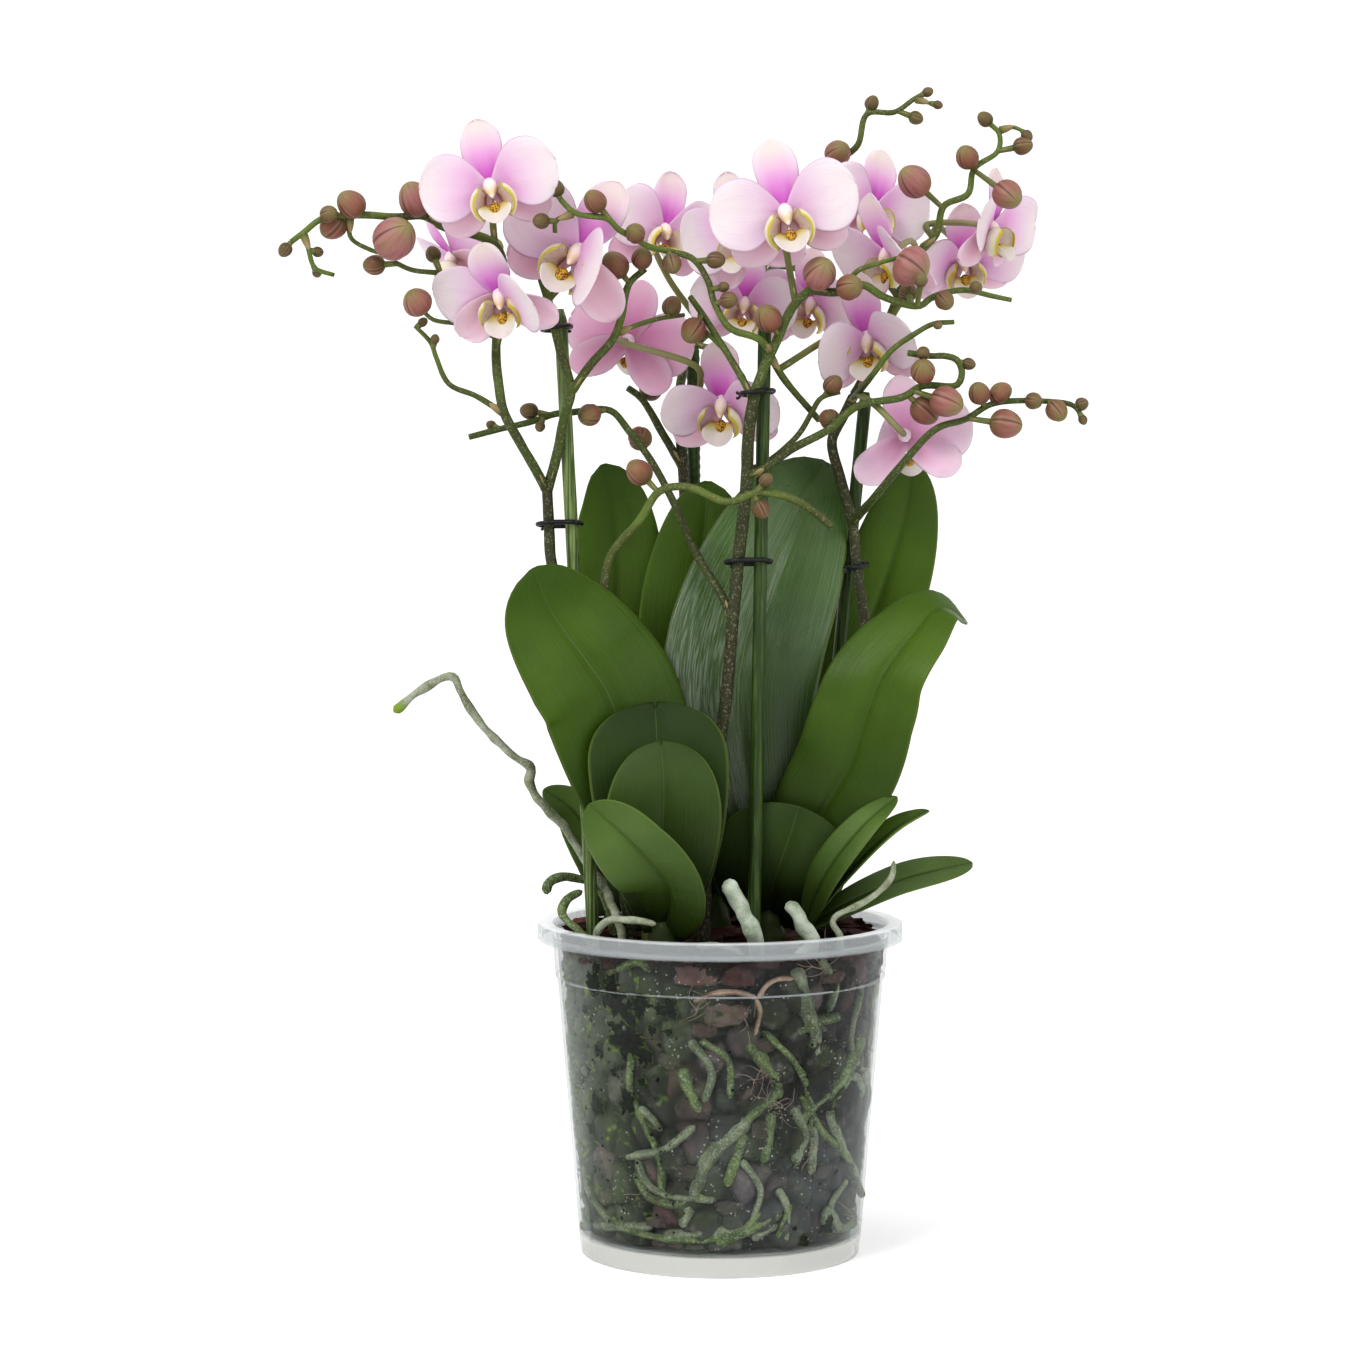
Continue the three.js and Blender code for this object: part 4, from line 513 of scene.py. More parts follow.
class Form:
    """A mesh in the making. Each point carries a tone of four numbers that its
    material reads, and a side: 0 for an upper face and 1 for an under face."""

    def __init__(self):
        self.points, self.tones, self.sides, self.faces, self.slots = [], [], [], [], []

    def rings(self, rows, tones, slot=0, sides=None, capped=True):
        """Closed rings of points, each joined to the next."""
        first = len(self.points)
        count = len(rows[0])
        for i, row in enumerate(rows):
            self.points += row
            self.tones += tones[i]
            self.sides += sides[i] if sides else [0.0] * count
        before = len(self.faces)
        for start in range(first, first + (len(rows) - 1) * count, count):
            for k in range(count):
                after = (k + 1) % count
                self.faces.append((start + k, start + after, start + count + after, start + count + k))
        if capped:
            last = first + (len(rows) - 1) * count
            self.faces.append(tuple(range(first + count - 1, first - 1, -1)))
            self.faces.append(tuple(range(last, last + count)))
        self.slots += [slot] * (len(self.faces) - before)

    def tube(self, route, radius, tone, sides=10, spacing=2.0, slot=0, wander=0.0, wall=False):
        """A round tube: radius(share) and tone(share) along the route. On a wall
        root the third tone says how far a point turns to the pot's wall, which the
        root material uses for painted shade."""
        steps = max(4, math.ceil(route.length / spacing))
        side = Vector((0.31, 0.93, 0.2)).cross(route.heading(0)).normalized()
        rows, tones = [], []
        for i in range(steps + 1):
            share = i / steps
            heading = route.heading(share)
            side = (side - heading * side.dot(heading)).normalized()
            other = heading.cross(side)
            centre = route.at(share)
            away = Vector((centre.x, centre.y, 0)).normalized()
            row, tone_row = [], []
            for k in range(sides):
                turn = 2 * math.pi * k / sides
                out = side * math.cos(turn) + other * math.sin(turn)
                size = radius(share)
                if wander:
                    size *= 1 + wander * noise.noise((centre + out * size) * 0.22)
                row.append(centre + out * size)
                red, green, blue, alpha = tone(share)
                # On a wall root the third tone marks the side facing the wall; the root material paints shade
                # where it is low.
                tone_row.append((red, green, 0.5 + 0.5 * out.dot(away) if wall else blue, alpha))
            rows.append(row)
            tones.append(tone_row)
        self.rings(rows, tones, slot)

    def sheet(self, place, tone, rows, columns, thick, slot=0, even=False, turned=False):
        """A thin closed sheet. place(s, c) is its middle surface, with s from
        root to tip and c from -1 to 1 across; a turned sheet has its upper face
        on the other side."""
        step = 0.01
        ring_rows, ring_tones, ring_sides = [], [], []
        for i in range(rows + 1):
            s = i / rows if even else math.sin(math.pi / 2 * i / rows) ** 0.92
            front, back, tones = [], [], []
            # The columns lie a little closer at the two edges.
            for k in range(columns + 1):
                c = -math.cos(math.pi * k / columns) * 0.35 + (2 * k / columns - 1) * 0.65
                middle = place(s, c)
                ahead = place(min(s + step, 1), c) - place(max(s - step, 0), c)
                across = place(s, c + step) - place(s, c - step)
                normal = ahead.cross(across)
                normal = normal.normalized() if normal.length > 1e-9 else Vector((0, 0, 1))
                half = thick / 2 * math.sqrt(max(0.0, 1 - abs(c) ** 6)) * (1 - 0.5 * s**6)
                front.append(middle + normal * half)
                back.append(middle - normal * half)
                tones.append((s, c * 0.5 + 0.5) + tone)
            ring_rows.append(front + back[-2:0:-1])
            ring_tones.append(tones + tones[-2:0:-1])
            upper = 1.0 if turned else 0.0
            ring_sides.append([upper] * len(front) + [1 - upper] * (columns - 1))
        self.rings(ring_rows, ring_tones, slot, ring_sides)

    def lump(self, centre, pole, half, radius, tone, around=12, along=8, slot=0, seams=0.0):
        """An egg along pole: radius(h) and tone(h, k) for h from -1 to 1 and k
        from 0 to 1 round it."""
        pole = pole.normalized()
        side = Vector((0.31, 0.93, 0.2)).cross(pole).normalized()
        other = pole.cross(side)
        rows, tones = [], []
        for i in range(along + 1):
            h = -math.cos(math.pi * (0.04 + 0.92 * i / along))
            row, tone_row = [], []
            for k in range(around):
                turn = 2 * math.pi * k / around
                groove = 1 - seams * max(0, math.cos(3 * turn)) ** 6 * (1 - h * h)
                out = side * math.cos(turn) + other * math.sin(turn)
                row.append(centre + pole * half * h + out * radius(h) * groove)
                tone_row.append(tone(h, k / around))
            rows.append(row)
            tones.append(tone_row)
        self.rings(rows, tones, slot)

    def build(self, name, materials, nodes=(), smooth=True):
        mesh = mesh_of(name, self.points, self.faces)
        tone = mesh.attributes.new("tone", "FLOAT_COLOR", "POINT")
        tone.data.foreach_set("color", [part for t in self.tones for part in t])
        side = mesh.attributes.new("side", "FLOAT", "POINT")
        side.data.foreach_set("value", self.sides)
        for material in materials:
            mesh.materials.append(material)
        mesh.polygons.foreach_set("material_index", self.slots)
        mesh.polygons.foreach_set("use_smooth", [smooth] * len(self.faces))
        work_over(mesh)
        piece = show(name, mesh)
        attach(piece, "root")
        if nodes:
            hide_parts(*nodes)
        return piece

    def dress(self, node, materials):
        """The fine piece over a solid of the frame."""
        self.build(node + "_fine", materials, [node])


# ---- Materials ----


def paint(code, share):
    """A colour as it looks in the studio light, in the linear numbers of shaders.
    share makes up for the light and sheen that the white room adds."""
    parts = [int(code[i : i + 2], 16) / 255 for i in (1, 3, 5)]
    linear = [p / 12.92 if p < 0.04045 else ((p + 0.055) / 1.055) ** 2.4 for p in parts]
    return tuple(share * p for p in linear) + (1,)


class Value:
    """What a node gives. Arithmetic on it adds more nodes."""

    def __init__(self, shade, socket):
        self.shade, self.socket = shade, socket

    def __add__(self, other):
        return self.shade.math("ADD", self, other)

    def __sub__(self, other):
        return self.shade.math("SUBTRACT", self, other)

    def __rsub__(self, other):
        return self.shade.math("SUBTRACT", other, self)

    def __mul__(self, other):
        return self.shade.math("MULTIPLY", self, other)

    def __pow__(self, other):
        return self.shade.math("POWER", self, other)

    def __abs__(self):
        return self.shade.math("ABSOLUTE", self)


class Shade:
    """A material and short ways to add its nodes. A colour may be a Value or a
    code. red, green, blue and alpha are the four numbers of a point's tone."""

    def __init__(self, name, share=0.62, **settings):
        self.share = share
        self.material = bpy.data.materials.new(name)
        self.material.use_nodes = True
        self.tree = self.material.node_tree
        self.surface = self.tree.nodes["Principled BSDF"]
        for key, value in settings.items():
            self.surface.inputs[key.replace("_", " ")].default_value = value
        self.body = Value(self, self.surface.outputs[0])
        self.place = self.value("TexCoord", out="Object")
        tone = self.node("Attribute", attribute_name="tone")
        self.red, self.green, self.blue = self.parts("SeparateColor", Value(self, tone.outputs["Color"]))
        self.alpha = Value(self, tone.outputs["Alpha"])
        self.side = self.value("Attribute", out="Fac", attribute_name="side")

    def feed(self, socket, value):
        if isinstance(value, Value):
            self.tree.links.new(value.socket, socket)
        else:
            socket.default_value = paint(value, self.share) if isinstance(value, str) else value

    def node(self, kind, inputs=(), **settings):
        node = self.tree.nodes.new("ShaderNode" + kind)
        for key, value in settings.items():
            setattr(node, key, value)
        for key, value in dict(inputs).items():
            self.feed(node.inputs[key], value)
        return node

    def value(self, kind, inputs=(), out=0, **settings):
        return Value(self, self.node(kind, inputs, **settings).outputs[out])

    def parts(self, kind, whole):
        return [Value(self, part) for part in self.node(kind, {0: whole}).outputs]

    def math(self, kind, a, b=0.0, clamp=False):
        return self.value("Math", {0: a, 1: b}, operation=kind, use_clamp=clamp)

    def most(self, a, b, clamp=False):
        return self.math("MAXIMUM", a, b, clamp)

    def mix(self, share, a, b, kind="MIX"):
        return self.value("Mix", {0: share, 6: a, 7: b}, 2, data_type="RGBA", blend_type=kind)

    def ramp(self, value, stops):
        node = self.node("ValToRGB", {0: value})
        elements = node.color_ramp.elements
        while len(elements) < len(stops):
            elements.new(0.5)
        for element, (where, colour) in zip(elements, stops.items()):
            element.position = where
            grey = not isinstance(colour, str)
            element.color = (colour,) * 3 + (1,) if grey else paint(colour, self.share)
        return Value(self, node.outputs[0])

    def band(self, value, low, high):
        """0 below low and 1 above high, evenly between."""
        return self.value("MapRange", {0: value, 1: low, 2: high})

    def wash(self, base, colour, share, value, low, high):
        """base with a share of colour over it where value is high."""
        return self.mix(self.band(value, low, high) * share, base, colour)

    def noise(self, scale, detail=3.0, stretch=None):
        place = self.place
        if stretch:
            place = self.value("VectorMath", {0: place, 1: stretch}, operation="MULTIPLY")
        inputs = {"Vector": place, "Scale": scale, "Detail": detail, "Roughness": 0.55}
        return self.value("TexNoise", inputs)

    def streaks(self, along, across, detail=2.0):
        """Noise in the sheet's own coordinates: streaks from root to tip."""
        sheet = {0: self.red * along, 1: self.green * across, 2: self.alpha * 7.0}
        place = self.value("CombineXYZ", sheet)
        return self.value("TexNoise", {"Vector": place, "Scale": 1.0, "Detail": detail})

    def blend(self, share, under, over):
        """Two shaders in one, on the material's output."""
        both = self.value("MixShader", {0: share, 1: under, 2: over})
        self.feed(self.tree.nodes["Material Output"].inputs[0], both)
        return both

    def glow_through(self, share, colour):
        """Light that shines through a thin petal or leaf."""
        self.blend(share, self.body, self.value("BsdfTranslucent", {0: colour}))

    def finish(self, colour, height=None, strength=0.0, distance=0.0):
        """The material with its colour and its relief."""
        self.feed(self.surface.inputs["Base Color"], colour)
        if height:
            relief = self.value("Bump", {"Height": height, "Strength": strength, "Distance": distance})
            self.feed(self.surface.inputs["Normal"], relief)
        return self.material


def petal_material():
    m = Shade("petal", 0.97, Roughness=0.6, Specular_IOR_Level=0.2)
    edge = abs(m.green * 2.0 - 1.0)
    dorsal = m.ramp(m.red, {0: "#cf52ca", 0.22: "#dc79d8", 0.42: "#e6a9e1", 0.62: "#ead0e2", 0.85: "#ede7df"})
    along = m.red + (m.noise(34.0, 2.5) - 0.5) * 0.8
    petal = m.ramp(along, {0: "#efceec", 0.17: "#eec0eb", 0.33: "#efd5ec", 0.5: "#efe3ed", 0.72: "#efeeeb"})
    lateral = m.ramp(m.red, {0: "#cba3a3", 0.35: "#debac0", 0.7: "#e8cbd5", 1: "#f0dde4"})
    upper = m.mix(m.band(m.blue, 0.1, 0.4), dorsal, petal)
    upper = m.mix(m.band(m.blue, 0.6, 0.9), upper, lateral)
    under = m.ramp(m.red, {0: "#cd8fae", 0.25: "#e0aecd", 0.6: "#eecfe4", 1: "#f5e6f0"})
    face = m.mix(m.side, upper, under)
    face = m.mix(m.alpha * 0.85, face, m.mix(0.7, face, "#f0b4d2", "MULTIPLY"))
    face = m.wash(face, "#efe8ee", 0.45, edge, 0.45, 1.0)
    face = m.wash(face, "#dfa3d4", 0.14, m.streaks(2.0, 46.0), 0.5, 0.75)
    face = m.wash(face, "#f2eaf1", 0.12, m.noise(90.0), 0.45, 0.75)
    m.glow_through(0.42, face)
    return m.finish(face, m.streaks(3.0, 60.0), 0.25, 0.0004)


def column_material():
    m = Shade("column", 0.9, Roughness=0.45, Specular_IOR_Level=0.3)
    tint = m.ramp(m.red, {0: "#e8cfe2", 0.3: "#efdbe0", 0.6: "#ecd9d0", 0.85: "#dfc3a0", 1: "#f1e6dc"})
    return m.finish(m.wash(tint, "#d49ac4", 0.2, m.noise(700.0), 0.55, 0.7), m.noise(500.0), 0.1, 0.0003)


def lip_material():
    """Side lobes white with a yellow rim, striped inside; a white middle lobe
    and a speckled orange callus."""
    m = Shade("lip", 0.9, Roughness=0.42, Specular_IOR_Level=0.3)
    edge = abs(m.green * 2.0 - 1.0)
    white = {0: "#dcb3a6", 0.25: "#eedacf", 0.5: "#f6ecde", 0.7: "#f9f4ec", 0.88: "#f5efd2", 0.96: "#dccb48"}
    lobe = m.ramp(m.red, white)
    gold = m.mix(m.band(edge, 0.88, 0.98), lobe, "#d8c94c")
    stripes = m.band(m.streaks(4.0, 26.0), 0.6, 0.66)
    near = 1.0 - m.band(m.red, 0.35, 0.65)
    side_lobes = m.mix(stripes * near * 0.5, gold, "#8a3b35")
    tongue = m.ramp(m.red, {0: "#d9b24a", 0.2: "#eadb9e", 0.45: "#f2ece2", 1: "#eee3e4"})
    throat = 1.0 - m.band(m.red, 0.08, 0.35)
    middle = m.mix(stripes * throat, tongue, "#7d3020")
    callus = m.mix(m.band(m.noise(1700.0, 2.0), 0.5, 0.56), "#e2bb4a", "#8c3f22")
    face = m.mix(m.band(m.blue, 0.2, 0.4), side_lobes, middle)
    face = m.mix(m.band(m.blue, 0.7, 0.9), face, callus)
    m.glow_through(0.35, face)
    return m.finish(face, m.noise(600.0), 0.15, 0.0003)


def bud_material():
    m = Shade("bud", 0.66, Roughness=0.5, Specular_IOR_Level=0.3)
    small = m.ramp(m.red, {0: "#4d5228", 0.5: "#6a5a35", 1: "#7d6f45"})
    middle = m.ramp(m.red, {0: "#6c6238", 0.25: "#85583f", 0.6: "#99654f", 1: "#8e8450"})
    large = m.ramp(m.red, {0: "#8a7048", 0.2: "#a86b62", 0.65: "#b87c7c", 0.88: "#ab8470", 1: "#a09560"})
    body = m.mix(m.band(m.blue, 0.25, 0.5), small, middle)
    body = m.mix(m.band(m.blue, 0.6, 0.9), body, large)
    lines = m.streaks(1.5, 34.0, 3.0)
    body = m.wash(body, "#7c4f49", 0.5, lines, 0.45, 0.7)
    body = m.wash(body, "#8f8f55", 0.35, m.noise(110.0), 0.5, 0.75)
    seam = abs(m.math("FRACT", m.green * 3.0 + 0.5) - 0.5)
    body = m.mix((1.0 - m.band(seam, 0.0, 0.05)) * 0.8, body, "#4a3528")
    crease = 1.0 - m.band(abs(seam - 0.1), 0.0, 0.05)
    return m.finish(m.mix(crease * 0.3, body, "#c9a596"), lines, 0.3, 0.0004)


def stem_material():
    m = Shade("stem", 0.5, Roughness=0.55, Specular_IOR_Level=0.25)
    body = m.ramp(m.red, {0: "#3f4229", 0.35: "#494d2e", 0.6: "#50592c", 0.8: "#5a6a2e", 1: "#7c9040"})
    body = m.wash(body, "#463a2a", 0.6, m.noise(60.0), 0.4, 0.65)
    body = m.wash(body, "#a9ae8c", 0.5, m.noise(1300.0, 2.0), 0.56, 0.64)
    stalk = m.ramp(m.blue, {0: "#6f7c3c", 0.5: "#a3a566", 1: "#c3b792"})
    return m.finish(m.mix(m.green, body, stalk), m.noise(900.0), 0.35, 0.0004)


def bract_material():
    m = Shade("bract", 0.75, Roughness=0.7, Specular_IOR_Level=0.2)
    body = m.ramp(m.red, {0: "#6a6f40", 0.4: "#96895f", 1: "#b39e78"})
    fire = m.mix(m.blue, body, m.ramp(m.red, {0: "#b6a63c", 0.5: "#e09a3c", 1: "#d8672f"}))
    face = m.wash(fire, "#86694a", 0.4, m.streaks(2.0, 20.0), 0.5, 0.7)
    return m.finish(face, m.streaks(2.0, 24.0), 0.4, 0.0004)


def leaf_material(name, dark, middle, light, painted_sheen=0.0, rough=0.34):
    m = Shade(name, 0.5, Roughness=rough, Specular_IOR_Level=0.5 if painted_sheen else 0.2)
    across = m.green * 2.0 - 1.0
    edge = abs(across)
    face = m.ramp(m.red, {0: dark, 0.4: middle, 0.8: light, 1: middle})
    # Paleness per blade; on some blades it is painted light that lifts their shade.
    face = m.mix(m.blue, face, m.mix(0.5, face, "#8fae5a"))
    face = m.wash(face, dark, 0.45, m.noise(28.0), 0.35, 0.7)
    veins = m.streaks(2.2, 90.0, 3.0)
    face = m.wash(face, light, 0.22, veins, 0.42, 0.7)
    face = m.mix((1.0 - m.band(edge, 0.0, 0.03)) * 0.55, face, dark)
    face = m.mix((1.0 - m.band(edge, 0.004, 0.014)) * 0.45, face, "#93a95c")
    face = m.wash(face, "#93a95c", 0.8, edge, 0.955, 1.0)
    if painted_sheen:
        # Painted sheen: silvery streaks that stand in for reflected light, on one half of the glossy leaf
        # towards its root.
        shine = m.band(m.streaks(22.0, 110.0, 4.0), 0.46, 0.62)
        left = m.band(across, -0.15, 0.3) * 0.85 + m.band(m.noise(24.0, 2.0), 0.35, 0.6) * 0.2
        low = 1.0 - m.band(m.red, 0.55, 0.9)
        face = m.mix(shine * (left * low) * painted_sheen, face, "#aebfa6")
    # Painted shade: each blade darker towards its root, where the crown shades it.
    shade = m.ramp(m.red, {0: 0.3, 0.3: 0.5, 0.55: 0.85, 0.75: 1.0})
    both = m.mix(m.side, face, m.mix(0.45, face, "#86985f"))
    m.feed(m.surface.inputs["Roughness"], m.noise(60.0) * 0.2 + (rough - 0.08))
    m.glow_through(0.1, m.mix(0.5, face, "#a8d040"))
    return m.finish(m.mix(0.9, both, shade, "MULTIPLY"), veins + m.noise(260.0) * 0.5, 0.35, 0.0006)


def root_material(name, body, light, stain, share=0.3):
    """Silvery skin with stains; blue is 1 on free roots, which have a green tip
    where green is 1, and on wall roots it falls away from the wall; there the
    sides turned from the wall get painted shade."""
    m = Shade(name, 0.72, Roughness=0.75, Specular_IOR_Level=0.2)
    skin = m.mix(m.band(m.noise(170.0, 5.0), 0.35, 0.65), body, light)
    skin = m.wash(skin, stain, share, m.noise(55.0, 4.0), 0.52, 0.7)
    skin = m.wash(skin, "#d5dccb", 0.3, m.noise(1400.0, 2.0), 0.5, 0.62)
    lit = m.mix(m.green, skin, m.mix(m.band(m.red, 0.965, 0.985), skin, "#86a03c"))
    dim = m.ramp(m.noise(30.0, 4.0), {0.32: 0.34, 0.6: 0.95})
    uneven = m.mix(m.band(m.blue, 1.0, 0.96), lit, m.mix(0.85, lit, dim, "MULTIPLY"))
    # Painted shade: wall roots darker on the sides turned from the wall.
    far = m.mix(0.85, lit, "#3e4733", "MULTIPLY")
    return m.finish(m.mix(m.band(m.blue, 0.85, 0.35), uneven, far), m.noise(420.0, 4.0), 0.6, 0.0006)


def bark_material():
    """Damp bark above, where red is 0; seen through the wall it is greyer, with
    pale specks, painted shade in the gaps and a green film on the left."""
    m = Shade("bark", 0.66, Roughness=0.85, Specular_IOR_Level=0.15)
    dry = m.ramp(m.alpha, {0: "#2a1511", 0.4: "#43251b", 0.75: "#5f3527", 1: "#7b4a37"})
    dry = m.wash(dry, "#1a0d0a", 0.7, m.noise(240.0, 5.0), 0.4, 0.7)
    greys = {0: "#2f2b2c", 0.25: "#463e40", 0.5: "#5b5053", 0.72: "#65484a", 0.86: "#765257", 1: "#857c80"}
    wet = m.ramp(m.alpha, greys)
    wet = m.wash(wet, "#1f1c1e", 0.75, m.noise(130.0, 6.0), 0.42, 0.66)
    wet = m.wash(wet, "#a29e9a", 0.45, m.noise(210.0, 5.0), 0.55, 0.75)
    wet = m.wash(wet, "#596b38", 0.6, m.noise(48.0, 5.0), 0.45, 0.75)
    # Painted shade: near black in the gaps between chips.
    wet = m.mix(m.green * 0.85, wet, "#0c0b0c")
    wet = m.wash(wet, "#92949a", 0.42, m.noise(19.0, 3.0), 0.5, 0.72)
    x = m.parts("SeparateXYZ", m.place)[0]
    left = 1.0 - m.band(x, AXIS.x - 0.046, AXIS.x - 0.004)
    fog = m.band(m.noise(26.0, 4.0), 0.22, 0.72) * (left * 0.56 + 0.06)
    wet = m.mix(fog, wet, m.mix(m.noise(60.0), "#949a90", "#768452"))
    spots = m.band(m.noise(230.0, 3.0), 0.6, 0.66) * m.band(left, 0.1, 0.6)
    wet = m.mix(spots * 0.8, wet, "#7f9a3c")
    cells = m.value("TexVoronoi", {"Vector": m.place, "Scale": 520.0}, "Distance", feature="F1")
    specks = (1.0 - m.band(cells, 0.12, 0.22)) * m.band(m.noise(45.0), 0.48, 0.6)
    wet = m.mix(specks * 0.8, wet, "#d3d2c4")
    return m.finish(m.mix(m.red, dry, wet), m.noise(320.0, 6.0), 0.9, 0.0012)


def moss_material():
    m = Shade("moss", 0.7, Roughness=0.95, Specular_IOR_Level=0.1)
    fleck = m.mix(m.band(m.noise(620.0, 4.0), 0.42, 0.56), "#2a3c14", "#86a040")
    body = m.mix(m.band(m.noise(520.0, 4.0), 0.52, 0.62), "#080c05", "#1f2e10")
    return m.finish(m.mix(m.band(m.red, 0.84, 1.0), body, fleck), m.noise(700.0, 4.0), 1.0, 0.001)


def cane_material(name, body, light):
    m = Shade(name, 0.6, Roughness=0.4, Specular_IOR_Level=0.3)
    ribs = m.noise(20.0, 2.0, (60.0, 60.0, 0.4))
    tint = m.mix(m.band(ribs, 0.45, 0.6), body, light)
    return m.finish(m.wash(tint, "#22361a", 0.3, m.noise(130.0), 0.5, 0.75), ribs, 0.3, 0.0005)


def tie_material():
    m = Shade("tie", 0.6, Roughness=0.42, Specular_IOR_Level=0.35)
    tint = m.mix(m.band(m.noise(300.0), 0.4, 0.7), "#111214", "#24262a")
    return m.finish(tint, m.noise(800.0), 0.2, 0.0003)


def pot_material():
    """Clear plastic with a haze; milky at the rim band and the foot, with
    painted highlights along the rim's top and lower edges and a painted bright
    line on the step, and algae in patches on the inside of the wall."""
    m = Shade("pot", 1.0, Roughness=0.25, IOR=1.49)
    x, _, z = m.parts("SeparateXYZ", m.place)
    band_foot = POT_HEIGHT - RIM_BAND
    rim = m.band(z, (band_foot - 0.2) * MM, (band_foot + 0.4) * MM)
    foot = 1.0 - m.band(z, (FOOT_HEIGHT - 0.6) * MM, (FOOT_HEIGHT + 1.2) * MM)
    # Painted highlight: a bright line along the step.
    step = 1.0 - m.band(abs(z - (STEP_HEIGHT + 0.4) * MM), 0.00018, 0.0004)
    # Painted highlights: white lines along the rim's top edge and its lower edge.
    painted_brim_highlight = m.band(z, (POT_HEIGHT - 0.6) * MM, (POT_HEIGHT - 0.1) * MM)
    under = 1.0 - m.band(z, (band_foot - 0.2) * MM, (band_foot + 0.2) * MM)
    edge = m.math("ADD", painted_brim_highlight, under, True) * rim
    solid = m.most(m.most(m.most(rim * 0.42, foot * 0.58), edge * 0.66), step * 0.5)
    left = 1.0 - m.band(x, AXIS.x - 0.05, AXIS.x - 0.005)
    facing_away = m.value("LayerWeight", {0: 0.5}, "Facing")
    mist = m.band(m.noise(22.0, 4.0), 0.4, 0.75) * 0.035
    haze = (mist + 0.006) + facing_away**3.0 * 0.42
    low = 1.0 - m.band(z, 0.012, 0.034)
    film = m.band(m.noise(70.0, 5.0), 0.42, 0.7) * m.most(low, left)
    film = film * (1.0 - m.band(z, 0.094, 0.1)) * (1.0 - foot)
    cover = m.most(m.most(solid, haze), film * 0.05, True)
    plastic = m.mix(m.most(m.most(rim, foot), step), "#8f9493", "#a3a8aa")
    # The painted highlights of the rim's edges, in near-white.
    plastic = m.mix(edge, m.mix(foot, plastic, "#cfcfca"), "#eef1f4")
    clear = m.value("BsdfTransparent", {0: (0.97, 0.98, 0.98, 1)})
    shine = m.value("BsdfGlossy", {"Roughness": 0.08})
    m.blend(facing_away**4.0 * 0.16 + 0.005, m.blend(cover, clear, m.body), shine)
    return m.finish(m.mix(film, plastic, "#536a37"))


def floor_material():
    """White paper that fades into the white of the room."""
    m = Shade("floor", Roughness=0.9, Specular_IOR_Level=0.0)
    x, y, _ = m.parts("SeparateXYZ", m.place)
    far = m.math("SQRT", x * x + y * y)
    m.blend(m.band(far, 0.12, 0.42), m.body, m.value("BsdfTransparent"))
    return m.finish(m.mix(m.band(m.noise(3.0), 0.3, 0.7), (0.95, 0.95, 0.95, 1), (0.97, 0.97, 0.97, 1)))


PETAL = petal_material()
COLUMN = column_material()
LIP = lip_material()
BUD = bud_material()
STEM = stem_material()
BRACT = bract_material()
MOSS = moss_material()
LEAF_KINDS = [
    leaf_material("leaf", "#34500a", "#4d6f10", "#618518"),
    # For the glossy leaf, 0.66 is the strength of its painted sheen.
    leaf_material("leaf_glossy", "#2b4716", "#3f6320", "#55802c", 0.66, 0.28),
    leaf_material("leaf_pale", "#45631f", "#5a7a2c", "#708e44"),
    # The deep copy is partly painted shade, for blades that sit in shade.
    leaf_material("leaf_deep_and_shaded", "#20330b", "#2d4612", "#3a5619", 0.0, 0.45),
]
ROOT = root_material("root", "#626b52", "#949c7f", "#434c30", 0.5)
ROOT_GREEN = root_material("root_green", "#4b5b33", "#7d8e57", "#34421f", 0.5)
ROOT_TAN = root_material("root_tan", "#937460", "#c6ad99", "#6e513c", 0.5)
ROOT_MINT = root_material("root_mint", "#929e88", "#cdd7c6", "#75845f", 0.45)
ROOT_SILVER = root_material("root_silver", "#7c8265", "#b4baa4", "#5b6537", 0.6)
BARK = bark_material()
CANE = cane_material("cane", "#33491b", "#4c6628")
CANE_LIGHT = cane_material("cane_light", "#4f682c", "#98ab6c")
TIE = tie_material()
POT = pot_material()

# ---- Pot ----


def wall_radius(z):
    """The outside radius of the pot's wall."""
    if z < STEP_HEIGHT:
        return lerp(FOOT_TOP_RADIUS, STEP_RADIUS, (z - FOOT_HEIGHT) / (STEP_HEIGHT - FOOT_HEIGHT))
    share = (z - STEP_HEIGHT) / (POT_HEIGHT - RIM_BAND - STEP_HEIGHT)
    return lerp(STEP_RADIUS + STEP_OUT, NECK_RADIUS, share)


def around(radius, turn, z):
    """A point round the pot's axis. A turn of 0 is the front and a quarter turn is the
    picture's right."""
    return Vector((radius * math.sin(turn), -radius * math.cos(turn), z))


def turns(count):
    return [2 * math.pi * k / count for k in range(count)]


def on_wall(spot, inset):
    """The point behind a picture point on the inside of the pot's front wall."""
    y = -50
    for _ in range(8):
        point = seen([*spot, y])
        reach = wall_radius(point.z) - WALL - inset
        y = -math.sqrt(max(reach * reach - point.x * point.x, 4))
    return seen([*spot, y])


def off_mark(degrees, first, step):
    """How far an angle is from the nearest mark, of marks a step apart."""
    return abs((degrees - first + step / 2) % step - step / 2)


def drill_drains(piece):
    drill = Form()
    for turn in turns(DRAINS):
        middle = [around(DRAIN_OUT, turn, z) for z in (3, 9)]
        rows = [[m + around(DRAIN_RADIUS, t, 0) for t in turns(32)] for m in middle]
        drill.rings(rows, [[PLAIN] * 32] * 2)
    mesh = mesh_of("drains", drill.points, drill.faces)
    work_over(mesh)
    tool = show("drains", mesh)
    cut = piece.modifiers.new("cut", "BOOLEAN")
    cut.operation = "DIFFERENCE"
    cut.solver = "EXACT"
    cut.object = tool
    holed = bpy.data.meshes.new_from_object(piece.evaluated_get(bpy.context.evaluated_depsgraph_get()))
    piece.modifiers.remove(cut)
    piece.data = holed
    bpy.data.objects.remove(tool)


